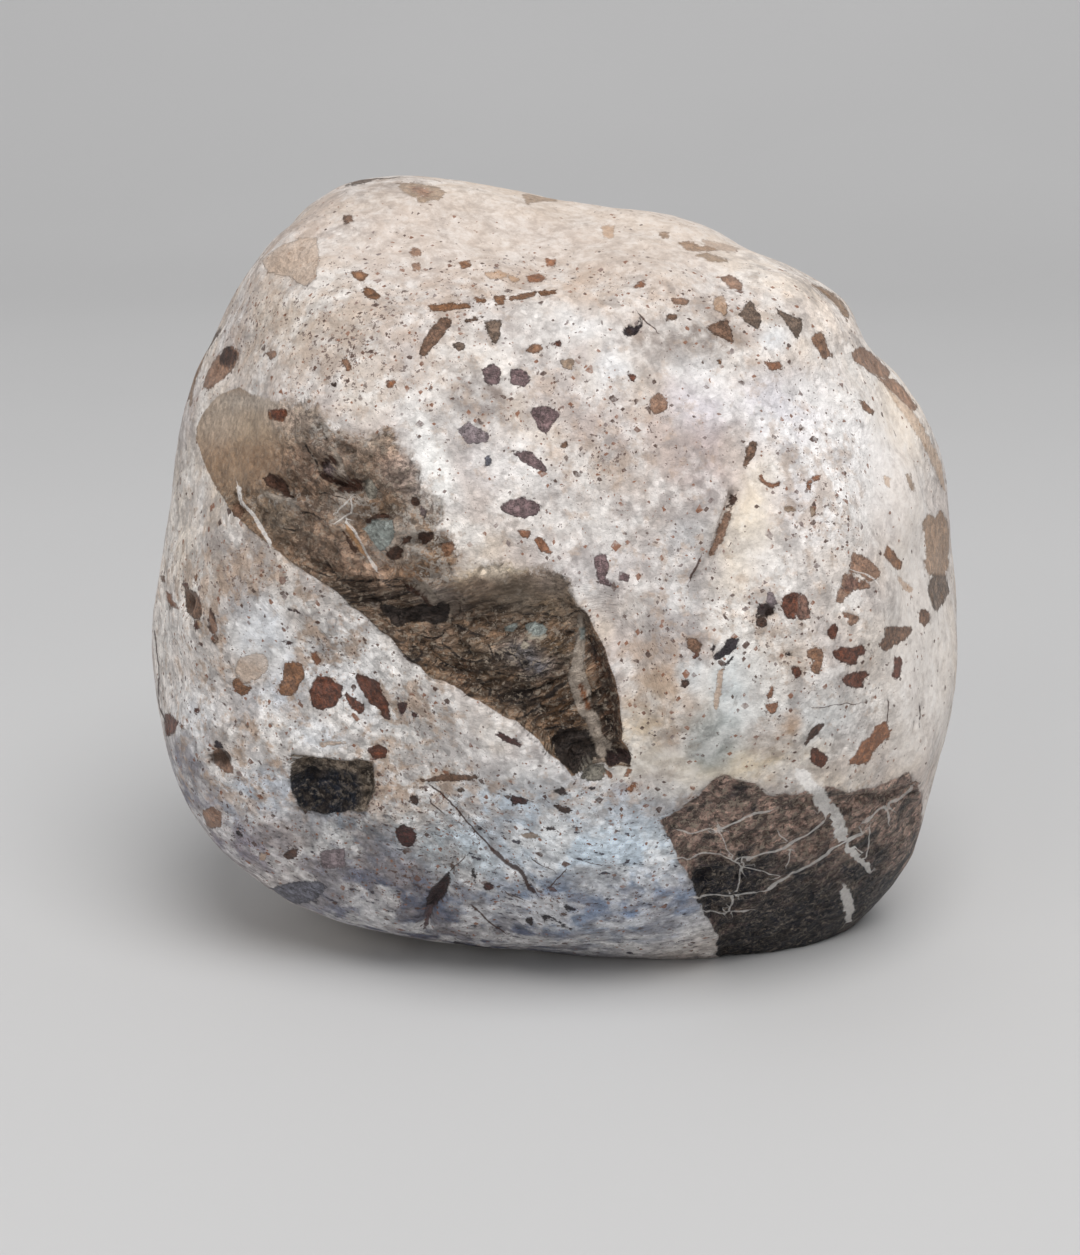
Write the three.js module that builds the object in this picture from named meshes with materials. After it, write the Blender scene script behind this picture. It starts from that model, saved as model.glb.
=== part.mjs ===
// Puddingstone cobble: one piece of stone, angular clasts set in a pale matrix.
// Millimetres, +Z up, the broad worn face towards -Y. The origin is on the spot it rests on.
import * as THREE from 'three';
import { mergeVertices } from 'three/addons/utils/BufferGeometryUtils.js';

const centreHeight = 37.5; // middle of the stone above the ground
const lean = 13; // degrees the broad face leans back
const frontDepth = 35.5; // middle to the broad face
const backDepth = 34; // middle to the back
const frontBoxiness = 2.9; // 2 is an ellipsoid, larger is squarer
const backBoxiness = 2.5;
const edgeSharpness = 11; // how tightly one worn flat turns into the next
const girthScale = 0.988; // the girth list is read from the front, so it is a little large
const meshDetail = 20; // 20 * (detail + 1)^2 triangles
const frontBias = 0.3; // gathers the mesh towards the broad face
const reach = 250; // the front chart is cast on the stone from this far in front

// Outline across the broad face, from the right and round by the top: [across, up]
const girth = [
  [40.3, 0], [39.8, 6.7], [38.9, 11.7], [37.4, 15.2], [34.4, 19.4], [31.2, 22.5], [29.7, 25.3],
  [27, 27.7], [18.4, 31.5], [13.6, 34.3], [2.6, 36.7], [-10.4, 38.9], [-15.9, 39.3],
  [-20.4, 38.6], [-24.2, 36.3], [-30.9, 28.4], [-36.4, 17.7], [-39.1, 3.7], [-40.8, -7.8],
  [-40.3, -13.3], [-37, -24.2], [-29.6, -32.2], [-21, -36], [-11.5, -37.6], [0.6, -39.4],
  [15.9, -40], [22, -39.3], [30.8, -36.6], [36, -30], [38.9, -20.6], [40.6, -7.3],
];

// Worn flats: [across, up, forward] of the outward direction, then the distance from the middle
const flats = [
  [0.1, 0.1, 0.99, 33.2], // broad face
  [-0.343, -0.444, 0.829, 32.2], // below the long edge of the wedge
  [0.05, -0.75, 0.66, 36.2], // turned under, above the ground
  [0.5, -0.62, 0.6, 38.6], // veined clast, lower right
  [-0.86, 0.06, 0.5, 38.4], // left side
  [0.02, 0.8, 0.6, 36.2], // top
  [0.87, 0.1, 0.48, 38.6], // right side
  [-0.35, 0.5, -0.79, 34.5], // back, upper left
  [0.55, -0.1, -0.83, 34], // back, right
  [-0.25, -0.35, -0.9, 34.6], // back, low
];

// Slow swells of the surface: wave numbers in radians per mm, phase, height
const swells = [
  [0.21, 0.09, 0.13, 0.4, 0.32],
  [-0.11, 0.24, 0.1, 2.1, 0.3],
  [0.08, -0.15, 0.27, 4.4, 0.3],
  [0.44, 0.31, -0.22, 1.3, 0.16],
  [-0.36, 0.4, 0.33, 5.2, 0.15],
  [0.75, -0.52, 0.48, 3.1, 0.09],
  [0.5, 0.83, -0.6, 0.9, 0.09],
];

// The wedge clast, weathered below its matrix: a sharp step along one side and round the tip
const wedgeEdge = [
  [-33.2, 7.2], [-30.9, 3.9], [-26.3, 0.9], [-21.4, -2.2], [-18.6, -5.1], [-14.8, -9],
  [-11.2, -11.5], [-6.8, -13.4], [-3.4, -15.7], [0.6, -19.4], [2.1, -20.9], [7.1, -20.9],
  [7.8, -19.1], [7, -15.3], [6.6, -12.7], [5.2, -8.1],
];
// ... and a slow ramp back up to the matrix along the other
const wedgeRamp = [
  [5.2, -8.1], [3.8, -5.3], [1.8, -2.1], [-1.4, -0.3], [-5.4, 0.7], [-9.9, 0.7], [-11.4, 3.2],
  [-11.4, 7.7], [-13.4, 11.5], [-21.4, 13.9], [-31.4, 17.7], [-33.9, 16.9], [-35.5, 13.1],
  [-34.8, 9.7], [-33.2, 7.2],
];
const wedgeStart = [-33, 13]; // blunt end
const wedgeRun = [0.76, -0.65]; // towards the tip
const wedgeLength = 48.7;

// Clasts worn lower than the matrix: outline, depth, width of the step
const sunken = [
  {
    outline: [
      [-26.3, -18.6], [-21.9, -19.3], [-18.2, -20.1], [-18, -22.3], [-18.8, -24.3],
      [-23.2, -24.8], [-25.4, -24.5], [-26.4, -21.8],
    ],
    depth: 1.3,
    step: 0.9,
  },
  {
    outline: [
      [10.6, -25.2], [13.8, -23.6], [16.4, -20.8], [17.9, -20.6], [22.1, -23.1], [28.1, -21.7],
      [33.6, -20.8], [36.8, -24.8], [34.1, -31.3], [24.6, -37.4], [16.8, -39], [14.3, -32.3],
    ],
    depth: 0.5,
    step: 1.2,
  },
];

// Cracks and clefts: the line they follow, depth, half width
const cracks = [
  { line: [[18.3, 8], [15.8, 1]], depth: 1.7, halfWidth: 1 },
  { line: [[-10.2, -30.1], [-12.8, -35.8]], depth: 2.2, halfWidth: 1.4 },
  { line: [[-12.2, -22.1], [-1.9, -32.6]], depth: 0.6, halfWidth: 1 },
  { line: [[29.1, 21.5], [32.6, 17.7], [36.1, 12.7], [38.1, 6.7]], depth: 0.7, halfWidth: 1.3 },
];

// Pits where small clasts have dropped out: across, up, radius, depth
const pits = [
  [19.7, 11, 1.1, 0.9], [-33.4, -19.3, 1.8, 1.3], [-36.4, -3.3, 1.4, 1], [21.4, -4.6, 1.5, 1],
  [7.7, 23.9, 1.2, 0.8], [16.9, -8.3, 1.2, 0.7], [-27.6, 8, 2.2, 1.2], [-19, 4, 1.6, 0.5],
  [-33.4, 19.6, 1.6, 0.4],
];

// Larger hollows of the sides and back: outward direction, radius, depth
const hollows = [
  [-0.55, 0.35, -0.76, 9, 1.3],
  [0.35, 0.5, -0.79, 7, 1],
  [0.15, -0.45, -0.88, 8, 1.2],
  [0.85, 0.05, -0.5, 7, 0.9],
  [-0.85, -0.1, -0.5, 6, 0.9],
];

const leanAngle = THREE.MathUtils.degToRad(lean);
const across = new THREE.Vector3(1, 0, 0);
const up = new THREE.Vector3(0, Math.sin(leanAngle), Math.cos(leanAngle));
const forward = new THREE.Vector3(0, -Math.cos(leanAngle), Math.sin(leanAngle));

// 0 below zero, 1 above one, an S between
function ease(x) {
  const t = Math.min(1, Math.max(0, x));
  return t * t * (3 - 2 * t);
}

// Shortest way from a point to a run of straight pieces, and whether it ends at a corner
function nearestOnLine(line, x, y) {
  let best = { distance: Infinity, x, y, corner: true };
  for (let i = 0; i + 1 < line.length; i += 1) {
    const [ax, ay] = line[i];
    const bx = line[i + 1][0] - ax;
    const by = line[i + 1][1] - ay;
    const t = Math.min(1, Math.max(0, ((x - ax) * bx + (y - ay) * by) / (bx * bx + by * by)));
    const distance = Math.hypot(x - ax - t * bx, y - ay - t * by);
    if (distance < best.distance) {
      best = { distance, x: ax + t * bx, y: ay + t * by, corner: t === 0 || t === 1 };
    }
  }
  return best;
}

// Is the point within the closed outline? Counts the sides crossed on the way out.
function inside(outline, x, y) {
  let within = false;
  for (let i = 0, j = outline.length - 1; i < outline.length; j = i, i += 1) {
    const [ax, ay] = outline[i];
    const [bx, by] = outline[j];
    if (ay > y !== by > y && x < ax + ((bx - ax) * (y - ay)) / (by - ay)) {
      within = !within;
    }
  }
  return within;
}

// The girth as a smooth closed curve: radius at an angle, cubic between the listed points
const girthRadii = girth
  .map(([x, y]) => ({ angle: Math.atan2(y, x), radius: Math.hypot(x, y) * girthScale }))
  .sort((a, b) => a.angle - b.angle);

function girthPoint(index) {
  const count = girthRadii.length;
  const turns = Math.floor(index / count);
  const point = girthRadii[index - turns * count];
  return { angle: point.angle + turns * 2 * Math.PI, radius: point.radius };
}

function girthRadius(angle) {
  let i = girthRadii.findIndex((point) => point.angle > angle) - 1;
  if (i === -2) {
    i = girthRadii.length - 1;
  }
  const [a, b, c, d] = [i - 1, i, i + 1, i + 2].map(girthPoint);
  const span = c.angle - b.angle;
  const t = (angle - b.angle) / span;
  const slopeB = ((c.radius - a.radius) / (c.angle - a.angle)) * span;
  const slopeC = ((d.radius - b.radius) / (d.angle - b.angle)) * span;
  const t2 = t * t;
  const t3 = t2 * t;
  return (
    (2 * t3 - 3 * t2 + 1) * b.radius +
    (t3 - 2 * t2 + t) * slopeB +
    (3 * t2 - 2 * t3) * c.radius +
    (t3 - t2) * slopeC
  );
}

// How much the flats pare off in a direction
function paring(u, v, w) {
  let total = 0;
  for (const [a, b, c, distance] of flats) {
    const toward = (a * u + b * v + c * w) / (Math.hypot(a, b, c) * distance);
    total += Math.max(0, toward) ** edgeSharpness;
  }
  return total;
}

// Worn cobble before any clast weathers out: a squared ellipsoid pared down by the flats,
// its rim let out by as much as the flats take off there
function cobbleRadius(u, v, w) {
  const sideways = Math.hypot(u, v);
  const depth = w > 0 ? frontDepth : backDepth;
  const boxiness = w > 0 ? frontBoxiness : backBoxiness;
  const girthHere = girthRadius(Math.atan2(v, u));
  const pared = paring(u / sideways, v / sideways, 0) * girthHere ** edgeSharpness;
  const rim = girthHere * (1 - Math.min(0.5, pared)) ** (-1 / edgeSharpness);
  const body = (sideways / rim) ** boxiness + (Math.abs(w) / depth) ** boxiness;
  return (body ** (edgeSharpness / boxiness) + paring(u, v, w)) ** (-1 / edgeSharpness);
}

function swell(x, y, z) {
  let height = 0;
  for (const [a, b, c, phase, size] of swells) {
    height += size * Math.sin(a * x + b * y + c * z + phase);
  }
  return height;
}

// How far the wedge clast lies below the matrix
const wedgeOutline = [...wedgeEdge, ...wedgeRamp.slice(1, -1)];

function wedgeDepth(x, y) {
  if (!inside(wedgeOutline, x, y)) {
    return 0;
  }
  const toEdge = nearestOnLine(wedgeEdge, x, y).distance;
  const toRamp = nearestOnLine(wedgeRamp, x, y).distance;
  const along = ((x - wedgeStart[0]) * wedgeRun[0] + (y - wedgeStart[1]) * wedgeRun[1]) / wedgeLength;
  const full = 0.7 + 1.3 * ease((along - 0.12) / 0.35) - 0.5 * ease((along - 0.7) / 0.3);
  const step = ease((toEdge - 0.1) / 1.1);
  const bowl = 2.5 * Math.exp(-(((x + 6.2) / 8.2) ** 2) - ((y + 5.2) / 3) ** 2) * ease(toRamp / 1.5);
  return step * (full * (toRamp / (toRamp + toEdge)) ** 0.8 + bowl);
}

// Everything worn or broken into the front, read on the chart
function frontRelief(x, y) {
  let depth = wedgeDepth(x, y);
  for (const clast of sunken) {
    if (inside(clast.outline, x, y)) {
      const closed = [...clast.outline, clast.outline[0]];
      depth += clast.depth * ease(nearestOnLine(closed, x, y).distance / clast.step);
    }
  }
  for (const crack of cracks) {
    const away = nearestOnLine(crack.line, x, y).distance / crack.halfWidth;
    depth += crack.depth * (1 - ease(away));
  }
  for (const [px, py, radius, deep] of pits) {
    depth += deep * (1 - ease(Math.hypot(x - px, y - py) / radius));
  }
  return depth;
}

function sideRelief(point) {
  let depth = 0;
  for (const [a, b, c, radius, deep] of hollows) {
    const middle = new THREE.Vector3(a, b, c).normalize();
    middle.multiplyScalar(cobbleRadius(middle.x, middle.y, middle.z));
    depth += deep * Math.exp(-((point.distanceTo(middle) / radius) ** 2) * 2);
  }
  return depth;
}

function onChart(point) {
  const scale = reach / (reach - point.z);
  return [point.x * scale, point.y * scale];
}

// Slides a direction so that the mesh has corners along the sharp edges and the cracks
const creases = [
  wedgeEdge,
  ...sunken.map((clast) => [...clast.outline, clast.outline[0]]),
  ...cracks.map((crack) => crack.line),
];

function slideToCrease(direction) {
  for (let pass = 0; pass < 3; pass += 1) {
    const radius = cobbleRadius(direction.x, direction.y, direction.z);
    const point = direction.clone().multiplyScalar(radius);
    const [x, y] = onChart(point);
    const edges = creases.map((line) => nearestOnLine(line, x, y));
    const edge = edges.reduce((best, next) => (next.distance < best.distance ? next : best));
    if (direction.z < 0.1 || edge.distance > 0.62 || edge.corner) {
      return;
    }
    const scale = (reach - point.z) / reach;
    point.x += (edge.x - x) * scale;
    point.y += (edge.y - y) * scale;
    direction.copy(point.normalize());
  }
}

// From a direction about the middle (across, up, forward) to a point of the finished surface
function surfacePoint(direction) {
  const radius = cobbleRadius(direction.x, direction.y, direction.z);
  const point = direction.clone().multiplyScalar(radius);
  const [x, y] = onChart(point);
  const facing = ease((direction.z + 0.05) / 0.15);
  const relief = facing * frontRelief(x, y) + (1 - facing) * sideRelief(point);
  const calm = (0.35 + 0.65 * ease(Math.abs(direction.z) / 0.4)) * ease((1.2 - relief) / 1.2);
  const rise = swell(point.x, point.y, point.z) * calm;
  const world = new THREE.Vector3();
  world.addScaledVector(across, direction.x);
  world.addScaledVector(up, direction.y);
  world.addScaledVector(forward, direction.z);
  let length = radius - relief + rise;
  if (world.z * length < -centreHeight) {
    length = centreHeight / -world.z; // worn flat where it rests
  }
  world.multiplyScalar(length);
  world.z += centreHeight;
  return world;
}

function stoneGeometry() {
  const ball = new THREE.IcosahedronGeometry(1, meshDetail);
  ball.deleteAttribute('uv');
  ball.deleteAttribute('normal');
  const geometry = mergeVertices(ball, 1e-5);
  const position = geometry.getAttribute('position');
  const direction = new THREE.Vector3();
  for (let i = 0; i < position.count; i += 1) {
    direction.fromBufferAttribute(position, i).normalize();
    direction.z += frontBias;
    direction.normalize();
    slideToCrease(direction);
    const point = surfacePoint(direction);
    position.setXYZ(i, point.x, point.y, point.z);
  }
  geometry.computeVertexNormals();
  return geometry;
}

const stone = new THREE.MeshStandardMaterial({ color: 0xcfc3b6, roughness: 0.75, metalness: 0 });
const puddingstone = new THREE.Mesh(stoneGeometry(), stone);
puddingstone.name = 'puddingstone';

const model = new THREE.Group();
model.name = 'puddingstone_cobble';
model.add(puddingstone);

export default model;
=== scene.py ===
import bpy
import math
import numpy as np
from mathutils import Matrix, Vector


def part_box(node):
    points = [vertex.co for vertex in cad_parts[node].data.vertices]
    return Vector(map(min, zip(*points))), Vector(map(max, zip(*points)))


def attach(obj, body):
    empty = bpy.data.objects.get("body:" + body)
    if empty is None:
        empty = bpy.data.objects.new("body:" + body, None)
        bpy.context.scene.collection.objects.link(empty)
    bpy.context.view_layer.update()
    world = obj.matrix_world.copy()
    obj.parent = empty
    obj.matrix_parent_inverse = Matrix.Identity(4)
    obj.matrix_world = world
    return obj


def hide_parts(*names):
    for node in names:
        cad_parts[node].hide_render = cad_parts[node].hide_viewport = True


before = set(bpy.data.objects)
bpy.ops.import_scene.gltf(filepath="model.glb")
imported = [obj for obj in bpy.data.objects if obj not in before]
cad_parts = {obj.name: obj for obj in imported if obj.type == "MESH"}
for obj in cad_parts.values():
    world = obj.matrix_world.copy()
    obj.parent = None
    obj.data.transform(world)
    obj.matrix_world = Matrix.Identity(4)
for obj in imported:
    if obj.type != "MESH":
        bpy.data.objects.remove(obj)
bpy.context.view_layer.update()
print("frame loaded:", sorted(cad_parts))


# number helpers, on whole arrays
def ease(x):
    # 0 below zero, 1 above one, an S between
    t = np.clip(x, 0, 1)
    return t * t * (3 - 2 * t)


def bell(x, y, middleX, middleY, halfX, halfY, power=2):
    # 1 in its middle, exp(-(a^power + b^power)) with a and b the distances in half widths
    return np.exp(-(((x - middleX) / halfX) ** power) - ((y - middleY) / halfY) ** power)


def mixed(first, second, share):
    return first + (second - first) * np.asarray(share)[..., None]


def linearColour(rgb):
    # sRGB 0 to 255 to the linear value a shader takes
    value = np.array(rgb, float) / 255
    return np.where(value < 0.04045, value / 12.92, ((value + 0.055) / 1.055) ** 2.4)


def evenColour(rgb, count):
    return np.tile(linearColour(rgb), (count, 1))


def cellValue(cell, seed):
    # a repeatable value from 0 to 1 for each whole-number cell, by mixing its three numbers
    mixture = (cell[..., 0] * 73856093) ^ (cell[..., 1] * 19349663) ^ (cell[..., 2] * 83492791)
    mixture = (mixture ^ (seed * 40503)) & 0xFFFFFFFF
    mixture = ((mixture ^ (mixture >> 16)) * 73244475) & 0xFFFFFFFF
    mixture = ((mixture ^ (mixture >> 15)) * 73244475) & 0xFFFFFFFF
    return (mixture ^ (mixture >> 16)) / 4294967295.0


def grain(points, size, seed, octaves=1, fall=0.5):
    # smooth noise from -1 to 1: cell corner values blended by an S curve, finer layers added.
    # Every pattern below has a seed of its own
    total = np.zeros(len(points))
    weight = 1.0
    weightSum = 0.0
    for octave in range(octaves):
        scaled = points / size * 2.03**octave + 17.3 * octave
        low = np.floor(scaled).astype(np.int64)
        part = scaled - low
        part = part * part * part * (part * (part * 6 - 15) + 10)
        value = np.zeros(len(points))
        for corner in range(8):
            offset = np.array([corner & 1, corner >> 1 & 1, corner >> 2])
            share = np.prod(np.where(offset, part, 1 - part), axis=1)
            value += share * cellValue(low + offset, seed + 31 * octave)
        total += weight * (2 * value - 1)
        weightSum += weight
        weight *= fall
    return total / weightSum


def ridges(points, size, seed, octaves=3):
    # broken ledges from 0 to 1: one less the height of smooth noise, sharpest where it crosses zero
    return 1 - np.abs(grain(points, size, seed, octaves, 0.55)) * 2.2


def strayed(local, x, y, amount, size, seed, octaves=3, fall=0.7):
    # chart places pushed about by smooth noise, so that what is drawn through them wavers
    return (x + amount * grain(local, size, seed, octaves, fall),
            y + amount * grain(local, size, seed + 1, octaves, fall))


def lineDistance(line, x, y, closed=False):
    # least distance to a run of straight pieces, and which side of it the point is on
    points = np.array(line, float)
    start = points if closed else points[:-1]
    run = np.roll(points, -1, axis=0) - points if closed else points[1:] - points[:-1]
    toX = x[:, None] - start[:, 0]
    toY = y[:, None] - start[:, 1]
    along = np.clip((toX * run[:, 0] + toY * run[:, 1]) / (run**2).sum(1), 0, 1)
    away = np.hypot(toX - along * run[:, 0], toY - along * run[:, 1])
    nearest = away.argmin(1)
    rows = np.arange(len(x))
    cross = run[nearest, 0] * toY[rows, nearest] - run[nearest, 1] * toX[rows, nearest]
    return away[rows, nearest], np.where(cross >= 0, 1.0, -1.0)


def outlineDistance(outline, x, y):
    # signed distance to a closed outline, below zero inside, which is where a ray crosses it
    # an odd number of times
    points = np.array(outline, float)
    ends = np.roll(points, -1, axis=0)
    rise = np.where(ends[:, 1] == points[:, 1], 1e-9, ends[:, 1] - points[:, 1])
    above = (points[:, 1] > y[:, None]) != (ends[:, 1] > y[:, None])
    crossing = points[:, 0] + (y[:, None] - points[:, 1]) / rise * (ends[:, 0] - points[:, 0])
    inside = (above & (x[:, None] < crossing)).sum(1) % 2 == 1
    away, _ = lineDistance(outline, x, y, closed=True)
    return np.where(inside, -away, away)


def readRow(row):
    # a row is a few words or numbers, then its points as across,up in tenths of a millimetre
    words = row.split()
    heads = [word if word.isalpha() else float(word) for word in words if "," not in word]
    return heads, np.array([word.split(",") for word in words if "," in word], float) / 10


# form of the stone, in millimetres
cobble = {
    "centreHeight": 37.5,  # middle of the stone above the ground
    "lean": 13,  # degrees the broad face leans back
    "frontDepth": 35.5,  # middle to the broad face
    "backDepth": 34,  # middle to the back
    "frontBoxiness": 2.9,  # 2 is an ellipsoid, larger is squarer
    "backBoxiness": 2.5,
    "edgeSharpness": 11,  # how tightly one worn flat turns into the next
    "girthScale": 0.988,
    "frontBias": 0.5,  # gathers the mesh towards the broad face
    "reach": 250,  # the front chart is cast on the stone from this far in front
    "meshCells": 128,  # cells along one side of each of the six patches
    "chartEdge": -0.05,  # forward part of a direction where the chart of the broad face begins
    "chartFade": 0.15,  # and over which its relief comes in
    "wornGrain": 0.07,  # heights of the worn surface
    "fineGrain": 0.035,
    "poreDepth": 0.2,
    "chipDepth": 0.05,  # chips are worn this much lower, more or less by the spread
    "chipSpread": 0.08,
}

# outline across the broad face, from the right and round by the top: across, up
girth = [
    (40.3, 0), (39.8, 6.7), (38.9, 11.7), (37.4, 15.2), (34.4, 19.4), (31.2, 22.5), (29.7, 25.3),
    (27, 27.7), (18.4, 31.5), (13.6, 34.3), (2.6, 36.7), (-10.4, 38.9), (-15.9, 39.3),
    (-20.4, 38.6), (-24.2, 36.3), (-30.9, 28.4), (-36.4, 17.7), (-39.1, 3.7), (-40.8, -7.8),
    (-40.3, -13.3), (-37, -24.2), (-29.6, -32.2), (-21, -36), (-11.5, -37.6), (0.6, -39.4),
    (15.9, -40), (22, -39.3), (30.8, -36.6), (36, -30), (38.9, -20.6), (40.6, -7.3),
]

# worn flats: across, up, forward of the outward direction, then the distance from the middle
flats = [
    (0.1, 0.1, 0.99, 33.2),  # broad face
    (-0.343, -0.444, 0.829, 32.2),  # below the long edge of the wedge
    (0.05, -0.75, 0.66, 36.2),  # turned under, above the ground
    (0.5, -0.62, 0.6, 38.6),  # veined clast, lower right
    (-0.86, 0.06, 0.5, 38.4),  # left side
    (0.02, 0.8, 0.6, 36.2),  # top
    (0.87, 0.1, 0.48, 38.6),  # right side
    (-0.35, 0.5, -0.79, 34.5),  # back, upper left
    (0.55, -0.1, -0.83, 34),  # back, right
    (-0.25, -0.35, -0.9, 34.6),  # back, low
]

# slow swells of the surface: wave numbers in radians per mm, phase, height
swells = [
    (0.21, 0.09, 0.13, 0.4, 0.32), (-0.11, 0.24, 0.1, 2.1, 0.3), (0.08, -0.15, 0.27, 4.4, 0.3),
    (0.44, 0.31, -0.22, 1.3, 0.16), (-0.36, 0.4, 0.33, 5.2, 0.15), (0.75, -0.52, 0.48, 3.1, 0.09),
    (0.5, 0.83, -0.6, 0.9, 0.09),
]

# hollows of the sides and the back: outward direction, radius, depth
hollows = [
    (-0.55, 0.35, -0.76, 9, 1.3), (0.35, 0.5, -0.79, 7, 1), (0.15, -0.45, -0.88, 8, 1.2),
    (0.85, 0.05, -0.5, 7, 0.9), (-0.85, -0.1, -0.5, 6, 0.9),
]


def girthRadius(angle):
    # the girth as a smooth closed curve: cubic pieces between the listed points, slopes by neighbours
    points = np.array(girth, float)
    order = np.argsort(np.arctan2(points[:, 1], points[:, 0]))
    angles = np.arctan2(points[:, 1], points[:, 0])[order]
    radii = np.hypot(points[:, 0], points[:, 1])[order] * cobble["girthScale"]
    angles = np.concatenate([angles[-2:] - 2 * np.pi, angles, angles[:3] + 2 * np.pi])
    radii = np.concatenate([radii[-2:], radii, radii[:3]])
    slopes = np.zeros(len(radii))
    slopes[1:-1] = (radii[2:] - radii[:-2]) / (angles[2:] - angles[:-2])
    i = np.clip(np.searchsorted(angles, angle, side="right") - 1, 1, len(angles) - 3)
    span = angles[i + 1] - angles[i]
    t = (angle - angles[i]) / span
    lead = (2 * t**3 - 3 * t**2 + 1) * radii[i] + (t**3 - 2 * t**2 + t) * slopes[i] * span
    return lead + (3 * t**2 - 2 * t**3) * radii[i + 1] + (t**3 - t**2) * slopes[i + 1] * span


def paring(direction):
    # how much the flats pare off in a direction
    total = np.zeros(len(direction))
    for a, b, c, distance in flats:
        toward = direction @ np.array([a, b, c]) / (math.sqrt(a * a + b * b + c * c) * distance)
        total += np.maximum(0, toward) ** cobble["edgeSharpness"]
    return total


def cobbleRadius(direction):
    # squared ellipsoid, (side / rim)^n + (depth / D)^n, pared down by the flats as a p-norm,
    # its rim let out by as much as the flats take off there
    sharp = cobble["edgeSharpness"]
    sideways = np.maximum(1e-9, np.hypot(direction[:, 0], direction[:, 1]))
    forward = direction[:, 2] > 0
    depth = np.where(forward, cobble["frontDepth"], cobble["backDepth"])
    boxiness = np.where(forward, cobble["frontBoxiness"], cobble["backBoxiness"])
    here = girthRadius(np.arctan2(direction[:, 1], direction[:, 0]))
    flat = np.column_stack([direction[:, 0] / sideways, direction[:, 1] / sideways, 0 * sideways])
    rim = here * (1 - np.minimum(0.5, paring(flat) * here**sharp)) ** (-1 / sharp)
    body = (sideways / rim) ** boxiness + (np.abs(direction[:, 2]) / depth) ** boxiness
    return (body ** (sharp / boxiness) + paring(direction)) ** (-1 / sharp)


def patchDirections(cells):
    # a cube's six faces as grids of two parameters, welded along their rims and blown up to a ball
    across, up = np.meshgrid(np.arange(cells + 1), np.arange(cells + 1), indexing="ij")
    flatAcross, flatUp = across.ravel(), up.ravel()
    first = (across[:-1, :-1] * (cells + 1) + up[:-1, :-1]).ravel()
    loop = np.column_stack([first, first + cells + 1, first + cells + 2, first + 1])
    corners = []
    faces = []
    for axis in range(3):
        for side in (0, cells):
            lattice = np.zeros((len(flatAcross), 3), np.int64)
            lattice[:, axis] = side
            lattice[:, (axis + 1) % 3] = flatAcross
            lattice[:, (axis + 2) % 3] = flatUp
            faces.append((loop if side else loop[:, ::-1]) + len(corners) * len(flatAcross))
            corners.append(lattice)
    whole, index = np.unique(np.concatenate(corners), axis=0, return_inverse=True)
    ball = np.tan((whole / cells - 0.5) * (math.pi / 2))
    ball /= np.linalg.norm(ball, axis=1, keepdims=True)
    ball[:, 2] += cobble["frontBias"]
    ball /= np.linalg.norm(ball, axis=1, keepdims=True)
    return ball, index.reshape(-1)[np.concatenate(faces)]


def onChart(local):
    # where a sight line to the point crosses the upright plane through the stone's middle
    scale = cobble["reach"] / (cobble["reach"] - local[:, 2])
    return local[:, 0] * scale, local[:, 1] * scale


def sideRelief(local):
    # hollows of the sides and the back as round bells, in mm inwards
    depth = np.zeros(len(local))
    for a, b, c, radius, deep in hollows:
        middle = np.array([[a, b, c]]) / math.sqrt(a * a + b * b + c * c)
        middle = middle * cobbleRadius(middle)[:, None]
        depth += deep * np.exp(-((local - middle) ** 2).sum(1) / radius**2 * 2)
    return depth


def fineRelief(local, chipEdge):
    # grain of the worn matrix, chips worn a little lower, and small open pores, in mm outwards
    worn = cobble["wornGrain"] * grain(local, 2.2, 3, 3) + cobble["fineGrain"] * grain(local, 0.9, 4, 2)
    chipLevel = cobble["chipDepth"] + cobble["chipSpread"] * grain(local, 4, 5)
    crowded = ease(grain(local, 9, 6) * 1.6 + 0.5)
    pores = ease((grain(local, 0.95, 7) - 0.55) / 0.25) * crowded
    return worn - chipLevel * ease(-chipEdge / 0.25) - cobble["poreDepth"] * pores, pores


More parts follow.
